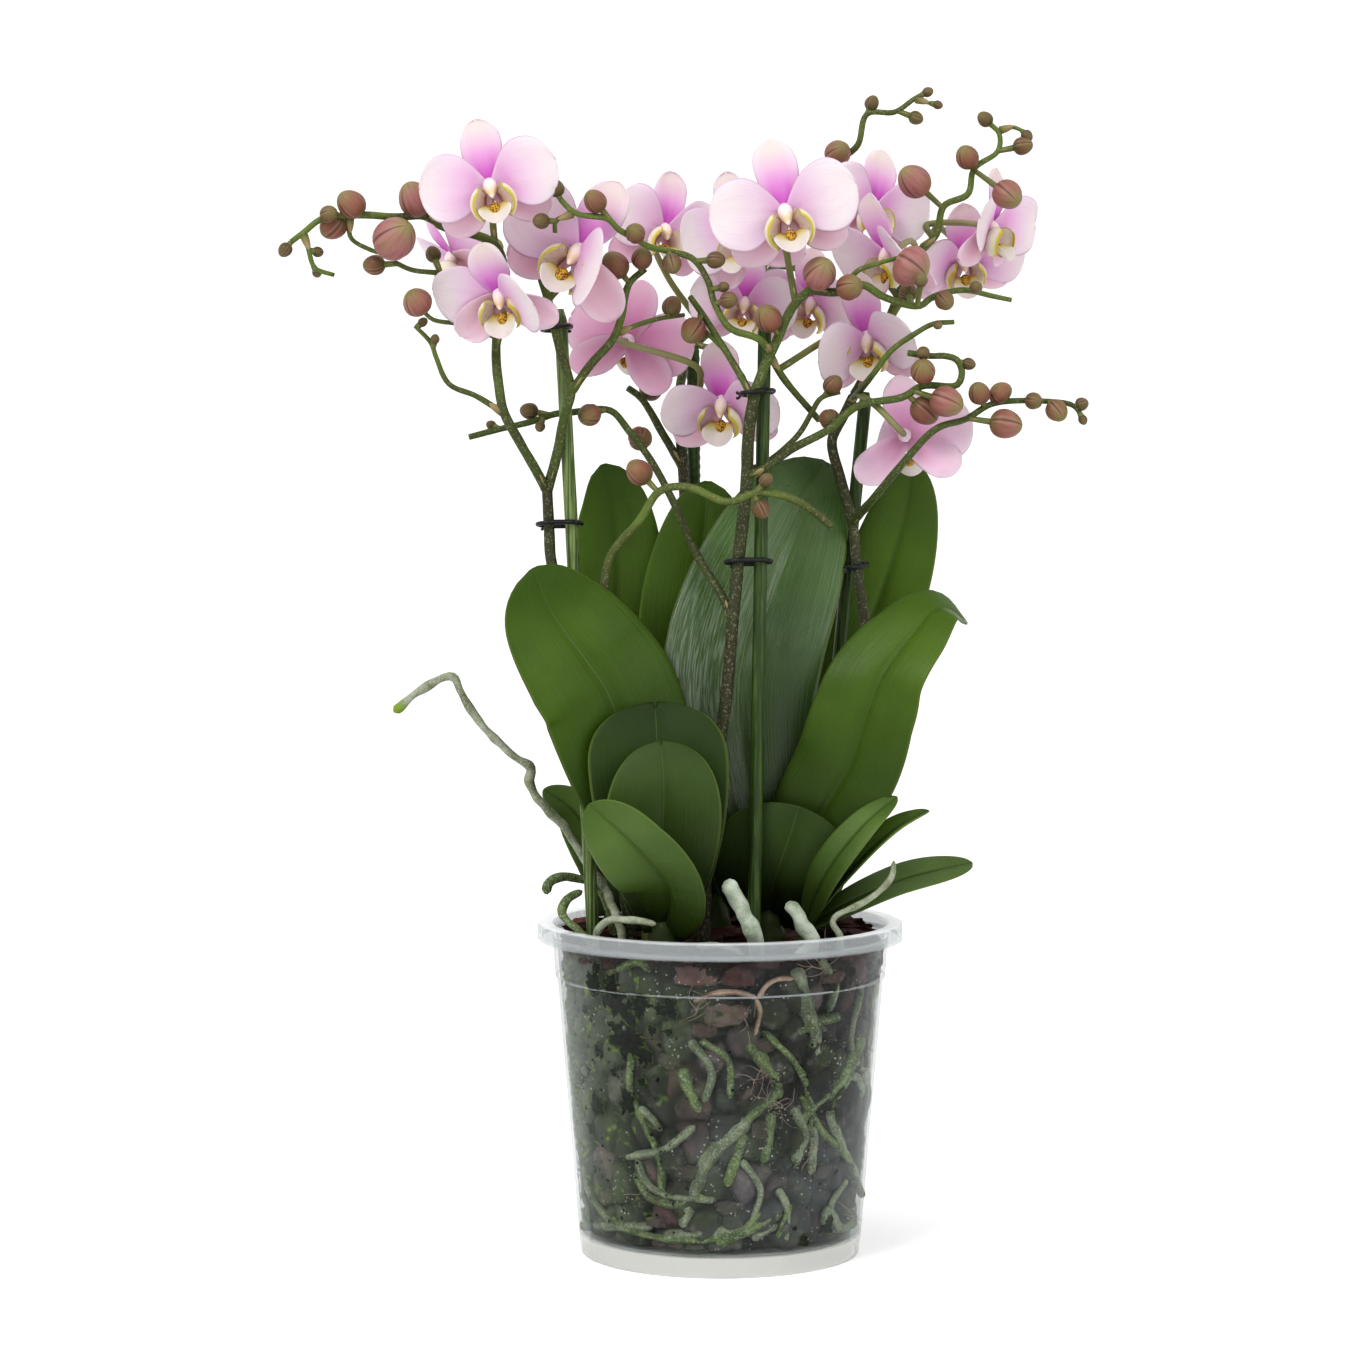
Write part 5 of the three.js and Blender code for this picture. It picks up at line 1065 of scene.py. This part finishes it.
def make_pot():
    """The section is turned round the axis, with small ribs round the rim and seams
    round the foot."""
    # Radius and height: up the outside, over the rim and down the inside to the floor.
    section = [
        (43.5, 0), (44.7, 0), (FOOT_RADIUS, 0.15), (46.3, 3.4), (FOOT_TOP_RADIUS, FOOT_HEIGHT),
        (48.45, 28), (50.2, 49), (51.95, 70), (STEP_RADIUS, STEP_HEIGHT),
        (STEP_RADIUS + STEP_OUT, 91.8), (54.85, 98.5), (NECK_RADIUS, 105.3),
        (58.8, 105.3), (58.8, 103.9), (59.6, 103.7), (RIM_RADIUS, 104.1), (RIM_RADIUS, 108.6),
        (59.7, 109.2), (59.1, POT_HEIGHT), (55.7, POT_HEIGHT), (55.1, 109.2), (54.4, 108),
        (53.6, 99.8), (52.8, STEP_HEIGHT), (51.05, 70), (49.3, 49), (47.55, 28), (45.8, 7.2),
        (45.2, FOOT_HEIGHT), (22, FOOT_HEIGHT), (0.4, FOOT_HEIGHT),
        (0.4, FLOOR_UNDER), (22, FLOOR_UNDER), (43, FLOOR_UNDER),
    ]
    rows = []
    sides = 288
    for k, turn in enumerate(turns(sides)):
        degrees = 360 * k / sides
        rib = 0.4 * max(0, 1 - off_mark(degrees, 4.2, 15) / 1.3)
        seam = 0.35 * max(0, 1 - off_mark(degrees, 26, 45) / 1.3)
        row = []
        for radius, z in section:
            if z > 103.8 and radius > 59.5:
                radius += rib
            elif z < 7.1 and radius > 44.5:
                radius += seam
            row.append(around(radius, turn, z))
        rows.append(row)
    rows.append([p.copy() for p in rows[0]])
    form = Form()
    form.rings(rows, [[PLAIN] * len(section)] * len(rows), capped=False)
    piece = form.build("pot_clear", [POT], ["pot"])

    def close(work):
        """Joins the last side to the first, and each small hole on the axis to a point."""
        bmesh.ops.remove_doubles(work, verts=work.verts, dist=1e-6)
        for level in (FLOOR_UNDER, FOOT_HEIGHT):
            middle = AXIS + Vector((0, 0, level * MM))
            ring = [v for v in work.verts if (v.co - middle).length < 0.6 * MM]
            bmesh.ops.pointmerge(work, verts=ring, merge_co=middle)

    work_over(piece.data, close)
    drill_drains(piece)
    piece.data.set_sharp_from_angle(angle=math.radians(32))


# ---- Bark ----


def cell_edge(point, size):
    """How far a point is from the edge of its chip, and that chip's number."""
    gaps, spots = noise.voronoi(point / size)
    return gaps[1] - gaps[0], noise.cell(spots[0] * 7.31)


def bark_skin(turn, z):
    """The heap's radius, the number of the chip there, and how deep in a gap it is, which the bark material
    darkens as painted shade.
    """
    base = wall_radius(z) - WALL - 0.9
    spot = around(base, turn, z * 0.9)
    edge, chip = cell_edge(spot, 11)
    fine, _ = cell_edge(spot + Vector((3, 9, 1)), 5)
    sunk = 2.3 * (1 - min(1, edge / 0.25)) ** 1.5 + 0.7 * (1 - min(1, fine / 0.3))
    sunk += 1.1 * chip + 0.5 * abs(noise.noise(spot * 0.35))
    return base - sunk, chip, min(1, max(0, sunk - 1.1 * chip) / 2.2)


def make_bark():
    """One heap: its sides behind the wall, then its top from the edge to the middle."""
    rows, tones = [], []
    sides = turns(300)
    levels = [8.4, 9.5] + [11 + 1.25 * i for i in range(74)]
    for z in levels:
        skin = [bark_skin(turn, z) for turn in sides]
        inwards = 0.985 if z < 9 else 1
        rows.append([around(radius * inwards, turn, z) for turn, (radius, _, _) in zip(sides, skin)])
        wet = 1.0 if z < 98 else lerp(1, 0.15, (z - 98) / 5)
        tones.append([(wet, gap, 0, chip) for _, chip, gap in skin])
    top = levels[-1]
    edge_radii = [bark_skin(turn, top)[0] for turn in sides]
    rings = 30
    for i in range(1, rings):
        share = 1 - i / rings
        row, tone = [], []
        for turn, radius in zip(sides, edge_radii):
            spot = around(radius * share, turn, 0)
            edge, chip = cell_edge(spot, 12)
            pile = 1.2 * max(0, spot.y / 50) * (1 - share**8)
            lift = pile - 2.4 * (1 - share**3) + 2.6 * chip * min(1, edge / 0.3)
            lift += 0.8 * noise.noise(spot * 0.3)
            row.append(spot + Vector((0, 0, top + lift)))
            tone.append((0, 0, 0, chip))
        rows.append(row)
        tones.append(tone)
    form = Form()
    form.rings(rows, tones)
    form.build("bark_heap", [BARK], ["bark"])


def random_shift(reach):
    return Vector((rng.random(), rng.random(), rng.random())) * reach


def lay_chip(form, centre, size, tilt, tone):
    """A rough broken block of bark."""
    tilted = Matrix.Rotation(tilt[0], 3, "Z") @ Matrix.Rotation(tilt[1], 3, "X")
    shift = random_shift(90)
    rows = []
    for i in range(6):
        h = -1 + 2 * i / 5
        wide = (1 - abs(h) ** 5) ** 0.5 * 0.9 + 0.1
        row = []
        for k in range(10):
            turn = 2 * math.pi * (k + 0.3) / 10
            square = 1 / max(abs(math.cos(turn)), abs(math.sin(turn))) ** 0.7
            point = Vector((math.cos(turn) * square * wide, math.sin(turn) * square * wide, h))
            rough = 1 + 0.5 * noise.noise(point * 1.3 + shift)
            point = Vector((point.x * size[0], point.y * size[1], point.z * size[2])) * rough
            row.append(centre + tilted @ point)
        rows.append(row)
    form.rings(rows, [[tone] * 10] * 6)


def make_chips():
    """Loose chips over the heap, more of them piled at the back, and the ones seen
    through the wall."""
    form = Form()
    for count in range(FLAT_CHIPS + HEAPED_CHIPS):
        heaped = count >= FLAT_CHIPS
        turn = math.pi + rng.uniform(-1.7, 1.7) if heaped else rng.uniform(0, 2 * math.pi)
        radius = CHIP_SPREAD * math.sqrt(rng.uniform(0.6 if heaped else 0.02, 1))
        size = (rng.uniform(3, 7.5), rng.uniform(2, 4.5), rng.uniform(1.2, 2.8))
        radius = min(radius, CHIP_LIMIT - max(size))
        lift = rng.uniform(0.5, 4) + (rng.uniform(2, 5.5) if heaped else 0)
        tilt = (rng.uniform(0, 6.28), rng.uniform(-0.5, 0.5))
        centre = around(radius, turn, BARK_LEVEL - 0.5 + lift)
        lay_chip(form, centre, size, tilt, (0, 0, 0, rng.random()))
    for column, row, wide, tall, tone in WALL_CHIPS:
        centre = on_wall((column, row), 1.9)
        tilt = (math.atan2(centre.x, -centre.y), rng.uniform(-0.1, 0.1))
        lay_chip(form, centre, (wide / 1.15, 1.5, tall / 1.15), tilt, (0.75, 0, 0, min(0.95, tone)))
    form.build("bark_chips", [BARK], smooth=False)


# ---- Roots ----


def lay_root(form, points, low, high, slot=0, tip=0.0, wander=0.35, wall=False):
    """A root with a blunt end; tip is 1 where that end is green."""
    route = Route(points)

    def radius(s):
        before_tip = min(1, (1 - s) * route.length / high)
        blunt = math.sqrt(max(0.12, 1 - (1 - before_tip) ** 2))
        return lerp(low, high, s) * min(blunt, 0.5 + 12 * s)

    spacing = 1.1 if high > 0.5 else 1.6
    form.tube(route, radius, lambda s: (s, tip, 1, low), 12, spacing, slot, wander, wall)


def make_roots():
    """The named roots: a hub in the bark, free roots, and roots along the wall."""
    for name, (hub, free, wall) in ROOTS.items():
        form = Form()
        hub = seen(hub)
        up = Vector((0, 0, 1))
        form.lump(hub, up, 4.5, lambda h: 4 * math.sqrt(1 - h * h), lambda h, k: (0.5, 0, 0, 0.5), 18, 12)
        for index, (low, high, spots) in enumerate(free):
            aerial = name == "left" and index == 0
            blunt = name == "front" and index < 2
            fat = 1.35 if blunt else 1
            kind = 3 if blunt else 1 if name == "left" and index in (1, 3) else 2
            tip = 1.0 if aerial else 0.0
            lay_root(form, [seen(p) for p in spots], low * fat, high * fat, kind, tip, 0.45)
        for low, high, spots in wall:
            points = [hub] + [on_wall(p, low + 0.3) for p in spots]
            lay_root(form, points, low, high, 1, 0.0, 0.35, True)
        form.dress("roots_" + name, [ROOT, ROOT_GREEN, ROOT_SILVER, ROOT_MINT])


def make_wall_roots():
    """The roots seen through the wall, and others laid at random round the back."""
    form = Form()
    for kind, width, spots in WALL_ROOTS:
        points = [on_wall(spot, width + 0.15) for spot in spots]
        lay_root(form, points, width, width * 0.85, kind, 1.0 if kind == 1 else 0.0, 0.3, True)
    for _ in range(HIDDEN_ROOTS):
        turn = rng.uniform(0.38 * math.pi, 1.62 * math.pi)
        z = rng.uniform(22, 92)
        width = rng.uniform(1.0, 2.1)
        drift = rng.uniform(-0.12, 0.12)
        fall = rng.uniform(-11, 4)
        points = []
        for _ in range(rng.randint(4, 8)):
            z = min(max(z, 11 + width), 94)
            points.append(around(wall_radius(z) - WALL - width - 0.15, turn, z))
            turn += drift + rng.uniform(-0.08, 0.08)
            z += fall + rng.uniform(-4, 4)
        lay_root(form, points, width, width * 0.8, rng.choice((0, 0, 1, 1, 1)), 0.0, 0.3, True)
    form.build("roots_wall", [ROOT, ROOT_GREEN, ROOT_TAN])


def make_fibres():
    """Hair-thin strands between the roots, close behind the wall."""
    form = Form()
    for column, row, reach, count in FIBRES:
        for _ in range(count):
            turn = rng.uniform(0, 2 * math.pi)
            spots = [(column + rng.uniform(-9, 9), row + rng.uniform(-9, 9))]
            for _ in range(4):
                turn += rng.uniform(-0.7, 0.7)
                step = reach * rng.uniform(0.15, 0.3)
                spots.append((spots[-1][0] + step * math.cos(turn), spots[-1][1] + step * math.sin(turn)))
            lay_root(form, [on_wall(spot, 0.32) for spot in spots], 0.12, 0.08, 0, 0.0, 0.5, True)
    form.build("root_hairs", [ROOT_TAN])


def make_moss():
    """Algae in ragged spots on the inside of the wall, thickest on the left."""
    form = Form()
    spots = [(on_wall((x, y), 0.12), 1.2 * size) for x, y, size in BLOTCHES]
    for _ in range(ALGAE_SPOTS):
        turn = math.radians(rng.uniform(-88, -12) if rng.random() < 0.7 else rng.uniform(-180, 180))
        z = rng.uniform(14, 92)
        size = rng.uniform(0.2, 0.75) * rng.uniform(0.6, 1.5)
        spots.append((around(wall_radius(z) - WALL - 0.12, turn, z), size))
    for centre, size in spots:
        turn = math.atan2(centre.x, -centre.y)
        shift = random_shift(50)
        rows, tones = [], []
        for share, depth in ((0.25, 0.0), (0.7, 0.0), (1.0, 0.08), (0.7, 0.3), (0.25, 0.35)):
            row = []
            for angle in turns(40):
                heading = Vector((math.cos(angle), math.sin(angle), 0))
                rag = 1 + 0.6 * noise.noise(heading * 1.6 + shift) + 0.5 * noise.noise(heading * 6 + shift)
                reach = 0.8 * size * share * rag
                z = centre.z + reach * heading.y
                radius = wall_radius(z) - WALL - 0.1 - depth
                row.append(around(radius, turn + reach * heading.x / radius, z))
            rows.append(row)
            tones.append([(share, 0, 0, 0)] * 40)
        form.rings(rows, tones)
    form.build("moss", [MOSS])


# ---- Canes and ties ----


def cane_ends(name):
    low, high = (seen(p) for p in CANES[name])
    return high.lerp(low, (CANE_FOOT - high.z) / (low.z - high.z)), high


def make_canes():
    for name in CANES:
        foot, high = cane_ends(name)
        route = Route([foot, foot.lerp(high, 0.5), high])
        ribbed = name == "back"

        def radius(s):
            ends = min(s, 1 - s) * route.length
            ridge = 0.05 * noise.noise(Vector((s * 40, 0, 0)))
            if ribbed:
                ridge = 0.12 * math.sin(s * route.length * 2.1)
            return (CANE_RADIUS + ridge) * min(1, 0.55 + ends * 0.4)

        form = Form()
        form.tube(route, radius, plain_tone, 20, 0.75 if ribbed else 4)
        look = CANE_LIGHT if name == "left" else CANE
        form.dress("cane_" + name, [look])


def make_ties():
    """A loop round the cane and the stem, with the ends of its lock."""
    for name, (cane, row, stem, round_stem) in TIES.items():
        foot, high = cane_ends(cane)
        level = seen([MIDDLE, row, foot.y]).z
        post = foot.lerp(high, (level - foot.z) / (high.z - foot.z))
        shoot = seen(stem)
        along = Vector((shoot.x - post.x, shoot.y - post.y, 0)).normalized()
        side = Vector((-along.y, along.x, 0))
        points = []
        for centre, reach, way in ((post, CANE_RADIUS + TIE_RADIUS + GAP, -1), (shoot, round_stem, 1)):
            for i in range(7):
                turn = math.pi * (i / 6 - 0.5)
                out = along * way * math.cos(turn) + side * way * math.sin(turn)
                point = centre + out * reach
                point.z = post.z + 0.25 * way * (i - 3)
                points.append(point)
        form = Form()
        form.tube(Route(points + [points[0]]), lambda s: TIE_RADIUS * 0.95, plain_tone, 12, 0.9)
        knot, reach = (points[3], 1.0) if name == "left_top" else (points[7], 0.4)
        out = (knot - (post + shoot) / 2).normalized()
        for k in (0, 1):
            lead = out.cross(Vector((0, 0, 1))) * (0.7 if k else -0.7)
            end = [
                knot,
                knot + (out * 1.5 + lead * 0.6) * reach + Vector((0, 0, 0.5)),
                knot + (out * 3.2 - lead * 0.8) * reach + Vector((0, 0, 0.2 - k)),
                knot + (out * 5 + lead) * reach + Vector((0, 0, 1.2 - 2 * k)),
            ]
            form.tube(Route(end), lambda s: TIE_RADIUS * 0.6, plain_tone, 10, 0.8)
        form.dress("tie_" + name, [TIE])


# ---- Leaves ----


def facing(angles):
    """The direction at an angle from the front and a lift over the horizon."""
    turn, lift = math.radians(angles[0]), math.radians(angles[1])
    return Vector((math.sin(turn) * math.cos(lift), -math.cos(turn) * math.cos(lift), math.sin(lift)))


def outline(s, root, peak):
    """The share of a blade's or petal's full width, with its widest part at peak."""
    if s < peak:
        return root + (1 - root) * math.sin(math.pi / 2 * max(0, s / peak))
    return math.sqrt(max(0.004, 1 - ((s - peak) / (1 - peak)) ** 2.2))


def make_leaves():
    for name, (crown, body, blades) in LEAVES.items():
        form = Form()
        crown = seen(crown)
        foot, heart, top = (
            Vector((crown.x, crown.y, BARK_LEVEL + rise)) for rise in (-CROWN_FOOT, HEART, CROWN_TOP)
        )

        def thick(s):
            return body * lerp(0.9, 0.55, s) * min(1, 0.4 + 4 * (1 - s))

        short = Route([foot, foot.lerp(top, 0.5), top])
        form.tube(short, thick, lambda s: (0.1, 0.5, 0.3, 0.5), 20, 2, wander=0.3)
        for index, blade in enumerate(blades):
            kind, pale, half, face_low, face_high, fold, root, peak, notch, spots = blade
            route = Route([heart] + [seen(p) for p in spots])
            low, high = facing(face_low), facing(face_high)
            phase = rng.uniform(0, 6)

            def place(s, c):
                heading = route.heading(s)
                look = low.lerp(high, s).normalized()
                across = heading.cross(look).normalized() * -1
                normal = across.cross(heading).normalized()
                if normal.dot(look) < 0:
                    normal = normal * -1
                width = half * outline(s, root, peak)
                crease = -0.9 * math.exp(-((c * 14) ** 2)) * min(1, 4 * (1 - s))
                wave = 0.012 * width * math.sin(9 * s + phase + 2 * c) * c * c
                rise = fold * abs(c) * width - 0.12 * width * c * c + crease + wave
                back = notch * half * max(0, 1 - 3 * abs(c)) * max(0, s - 0.9) * 20
                return route.at(s) - heading * back + across * width * c + normal * rise

            form.sheet(place, (pale, index * 0.31 + 0.1), 64, 28, LEAF_THICK, kind, even=True)
        form.dress("leaves_" + name, LEAF_KINDS)


# ---- Blooms ----

# A bloom's five petals in order: the turn clockwise from the top, and the kind, which
# is 0 for the top sepal, 0.5 for the two broad petals and 1 for the lower sepals.
TEPALS = ((0, 0.0), (-80, 0.5), (80, 0.5), (-128, 1.0), (126, 1.0))


def bloom_frame(at, faces, roll):
    """Takes a point of a bloom, with x right, y up and z ahead, to its place."""
    ahead = facing(faces)
    right = Vector((0, 0, 1)).cross(ahead).normalized()
    up = ahead.cross(right)
    basis = Matrix((right, up, ahead)).transposed() @ Matrix.Rotation(-math.radians(roll), 3, "Z")
    middle = seen(at)
    return lambda *point: middle + basis @ Vector(point)


def tepal(form, place, size, turn, lift, kind, deep):
    """One of a bloom's five petals."""
    broad = kind == 0.5
    length = PETAL_LENGTH if broad else SEPAL_LENGTH
    half = PETAL_HALF if broad else SEPAL_HALF
    root, peak = (0.14, 0.55) if broad else (0.38, 0.58)
    turn, raise_by = math.radians(turn), math.radians(lift)
    phase = rng.uniform(0, 6)
    bend = rng.uniform(0.09, 0.14)
    ruffle = rng.uniform(0.7, 1.3)
    drift = random_shift(60)

    def point(s, c):
        t = outline(s, root, peak)
        out = 0.8 + length * s
        uneven = noise.noise(drift + Vector((2.2 * s, math.copysign(4, c), 0)))
        width = half * t * c * (1 + 0.09 * uneven * abs(c))
        ahead = out * math.sin(raise_by) - bend * length * s * s + 0.1 * half * c * c * t
        ahead += ruffle * math.sin(7 * s + phase + 3 * c) * abs(c) ** 3 * s
        ahead -= 0.35 * math.exp(-((c * 9) ** 2)) * (1 - s)
        notch = 0.5 * max(0, s - 0.85) * 6 * math.exp(-((c * 4) ** 2)) if broad else 0
        reach = (out - notch) * math.cos(raise_by)
        x = reach * math.sin(turn) + width * math.cos(turn)
        y = reach * math.cos(turn) - width * math.sin(turn)
        return place(x * size, y * size, ahead * size)

    form.sheet(point, (kind, deep), 30, 18, TEPAL_THICK, turned=True)


def side_lobe(form, place, size, side):
    """A lobe of the lip: one wall of an open cup below the column."""

    def point(s, c):
        spread = 62 * math.sqrt(max(0.02, 1 - (0.8 * s) ** 4))
        turn = math.radians(4 + spread * c)
        reach = 2.9 + 4.4 * math.sin(math.pi / 2 * min(1, 1.15 * s)) - 0.9 * max(0, s - 0.75) * 4 * (0.3 + s)
        x = 0.4 + reach * math.cos(turn)
        y = -4.9 + reach * 0.95 * math.sin(turn)
        z = 1.6 + 5.6 * s * s + 1.2 * s
        return place(side * x * size, y * size, z * size)

    form.sheet(point, (0, 0.4), 20, 22, LIP_THICK)


def middle_lobe(form, place, size):
    """The lip's broad white tongue, pointing down and forward like a scoop."""
    start, heading, rise = Vector((0, -6.2, 3.4)), Vector((0, -0.62, 0.78)), Vector((0, 0.78, 0.62))
    length = 9

    def point(s, c):
        shape = lerp(0.6, 1, math.sin(math.pi / 2 * min(1, s / 0.5))) if s < 0.5 else outline(s, 1, 0.5)
        width = 5.6 * shape * c
        spot = start + heading * length * s + rise * (0.16 * length * s * s + 0.115 * width * width)
        return place(*((spot + Vector((width, 0, 0))) * size))

    form.sheet(point, (0.5, 0.4), 18, 16, LIP_THICK)


def make_blooms():
    for number, (at, faces, roll, size, lifts, *_) in enumerate(BLOOMS, 1):
        place = bloom_frame(at, faces, roll)
        form = Form()
        deep = 0.7 if number == DEEP_BLOOM else rng.uniform(0, 0.25)
        for (turn, kind), lift in zip(TEPALS, lifts):
            tepal(form, place, size, turn, lift, kind, deep)
        middles = ((0.6, -COLUMN_BACK), (0.4, 0.6), (-3.2, 5.0))
        column = Route([place(0, y * size, z * size) for y, z in middles])

        def thick(s):
            return size * (1.3 + 1.0 * math.sin(math.pi * min(1, s * 1.1)) ** 0.8) * math.sqrt(1.02 - s**6)

        form.tube(column, thick, plain_tone, 22, 0.45, slot=1)
        form.dress(f"bloom_{number:02d}", [PETAL, COLUMN])
        lip = Form()
        for side in (-1, 1):
            side_lobe(lip, place, size, side)
        middle_lobe(lip, place, size)
        callus = place(0, -6.9 * size, 4.6 * size)
        pole = place(0, -0.6, 0.8) - place(0, 0, 0)

        def bulge(h):
            return 1.9 * size * math.sqrt(1 - h * h)

        lip.lump(callus, pole, 2.3 * size, bulge, lambda h, k: (0.5 + 0.5 * h, k, 1, 0), 20, 12)
        lip.dress(f"lip_{number:02d}", [LIP])


# ---- Stems, stalks and buds ----


def joint(lines, wish):
    """The point on the branches that is nearest to the wished one."""
    return min((line.nearest(wish) for line, _, _ in lines), key=lambda p: (p - wish).length)


def branch_lines(branches):
    """Each branch's line, with its first and last radius. The first one grows from
    the bark and the others from the branches before them."""
    lines = []
    for low, high, spots in branches:
        points = [seen(p) for p in spots]
        if lines:
            points[0] = joint(lines, points[0])
        else:
            points.insert(0, Vector((points[0].x, points[0].y, BARK_LEVEL - STEM_DEPTH)))
        lines.append((Route(points), low, high))
    return lines


def bract(form, spot, heading, size, fire=0.0):
    """A short pointed scale that hugs a stem under a bud or at a joint."""
    heading = heading.normalized()
    side = heading.cross(Vector((0.2, -1, 0.1))).normalized()
    out = side.cross(heading).normalized()

    def point(s, c):
        width = size * 0.42 * math.sqrt(max(0.01, 1 - s * s)) * c
        wrap = 0.5 * size * (1 - abs(c)) * 0.6
        return spot + heading * size * (1.5 * s - 0.3) + side * width + out * (wrap + 0.12 * size * s)

    form.sheet(point, (fire, 0.5), 8, 8, 0.4, 1)


def lay_stalk(form, place, size, leaves, via, lines):
    """A bloom's stalk, from the stem to the back of its column."""
    start = joint(lines, seen(leaves))
    before = place(0, -1, -COLUMN_BACK - STALK_BEND)
    back = place(0, 0, 0) - place(0, 0, 1)
    between = [seen(p) for p in via] or [start.lerp(before, 0.55) + back * 8]
    route = Route([start, *between, before, place(0, 0, -COLUMN_BACK * size - GAP)])
    form.tube(route, lambda s: lerp(1.15, 1.05, s), lambda s: (1, 1, s, 0), 12, 1.5, wander=0.06)
    bract(form, route.at(0.02) + route.heading(0.03), route.heading(0.03), 2.8)


def lay_bud(form, bud, lines):
    at, leaves, width = bud
    centre = seen(at)
    start = joint(lines, seen(leaves))
    half = min(0.56 * width, (centre - start).length - 0.3)
    pole = (centre - start).normalized()
    age = min(max((width - 3) / 9, 0), 1)
    stalk = Route([start, start.lerp(centre, 0.5), centre - pole * half * 0.8])
    form.tube(stalk, lambda s: 0.85 + 0.25 * s, lambda s: (1, 1, 0.2, 0), 10, 1)

    def egg(h):
        return width / 2 * math.sqrt(max(0, 1 - h * h)) * (1 - 0.12 * h)

    form.lump(centre, pole, half, egg, lambda h, k: (0.5 + 0.5 * h, k, age, 0), 30, 16, 2, 0.07)
    bract(form, start + pole * 0.8, pole, 2.2)


def make_stems():
    for name, (branches, buds) in STEMS.items():
        form = Form()
        lines = branch_lines(branches)
        young = name == "young"
        for index, (route, low, high) in enumerate(lines):

            def tone(s):
                height = min(max((route.at(s).z - 100) / 220, 0), 1)
                green = height * 0.75 * (1.2 - 0.3 * min(1.0, low / 2)) + (0.25 if index else 0.0)
                return (min(1, max(1.0 if young else 0.0, green)), 0, 0, 0)

            form.tube(route, lambda s: lerp(low, high, s), tone, 14, 1.5, wander=0.08)
            if index:
                bract(form, route.at(0.01) + route.heading(0.02) * 1.5, route.heading(0.02), 2.4 + low)
        main = lines[0][0]
        # The young stem's scales are laid twice, in two tints.
        for fire in (0.9, 0.6) if young else (0.0,):
            for share in (0.3, 0.55, 0.8) if young else (0.42, 0.68, 0.9):
                bract(form, main.at(share), main.heading(share), 3 if young else 3.8, fire)
        for bud in buds:
            lay_bud(form, bud, lines)
        for at, faces, roll, size, _, on, leaves, via in BLOOMS:
            if on == name:
                lay_stalk(form, bloom_frame(at, faces, roll), size, leaves, via, lines)
        form.dress("stem_" + name, [STEM, BRACT, BUD])


# ---- Floor, light and camera ----


def make_floor():
    form = Form()
    sides = 96
    radii = (0.5, 200, 600, 1500, 4000)
    form.faces.append(tuple(range(sides - 1, -1, -1)))
    rows = [[around(radius, -turn, 0) for turn in turns(sides)] for radius in radii]
    form.rings(rows, [[PLAIN] * sides] * len(radii), capped=False)
    mesh = mesh_of("floor", form.points, form.faces)
    mesh.materials.append(floor_material())
    show("floor", mesh)


def make_lamp(name, at, size, power):
    """A round soft lamp, at a place in metres, aimed at the plant's middle."""
    data = bpy.data.lights.new(name, "AREA")
    data.shape = "DISK"
    data.size = size
    data.energy = power
    light = show(name, data)
    light.location = at
    light.rotation_euler = (Vector((0, 0, 0.25)) - Vector(at)).to_track_quat("-Z", "Y").to_euler()


def make_studio():
    """White surroundings, two soft lamps and the photograph's camera."""
    scene = bpy.context.scene
    world = bpy.data.worlds.new("studio")
    world.use_nodes = True
    background = world.node_tree.nodes["Background"]
    background.inputs[0].default_value = (1, 1, 1, 1)
    background.inputs[1].default_value = 1.0
    scene.world = world
    make_lamp("key", (-0.9, -1.3, 1.5), 0.7, 16)
    make_lamp("fill", (1.2, -1.2, 0.9), 1.0, 5)
    lens = bpy.data.cameras.new("camera")
    lens.sensor_width = 36
    lens.lens = lens.sensor_width * FOCAL / PICTURE
    lens.clip_end = 20
    camera = show("camera", lens)
    camera.location = EYE * MM + AXIS
    camera.rotation_euler = (math.radians(90) - LOOK_DOWN, 0, 0)
    scene.camera = camera
    scene.view_settings.view_transform = "Standard"
    scene.view_settings.look = "Medium High Contrast"


# The order matters: the seeded random numbers are drawn in it.
rng = random.Random(SEED)
make_pot()
make_bark()
make_chips()
make_roots()
make_wall_roots()
make_moss()
make_fibres()
make_canes()
make_ties()
make_leaves()
make_blooms()
make_stems()
make_floor()
make_studio()
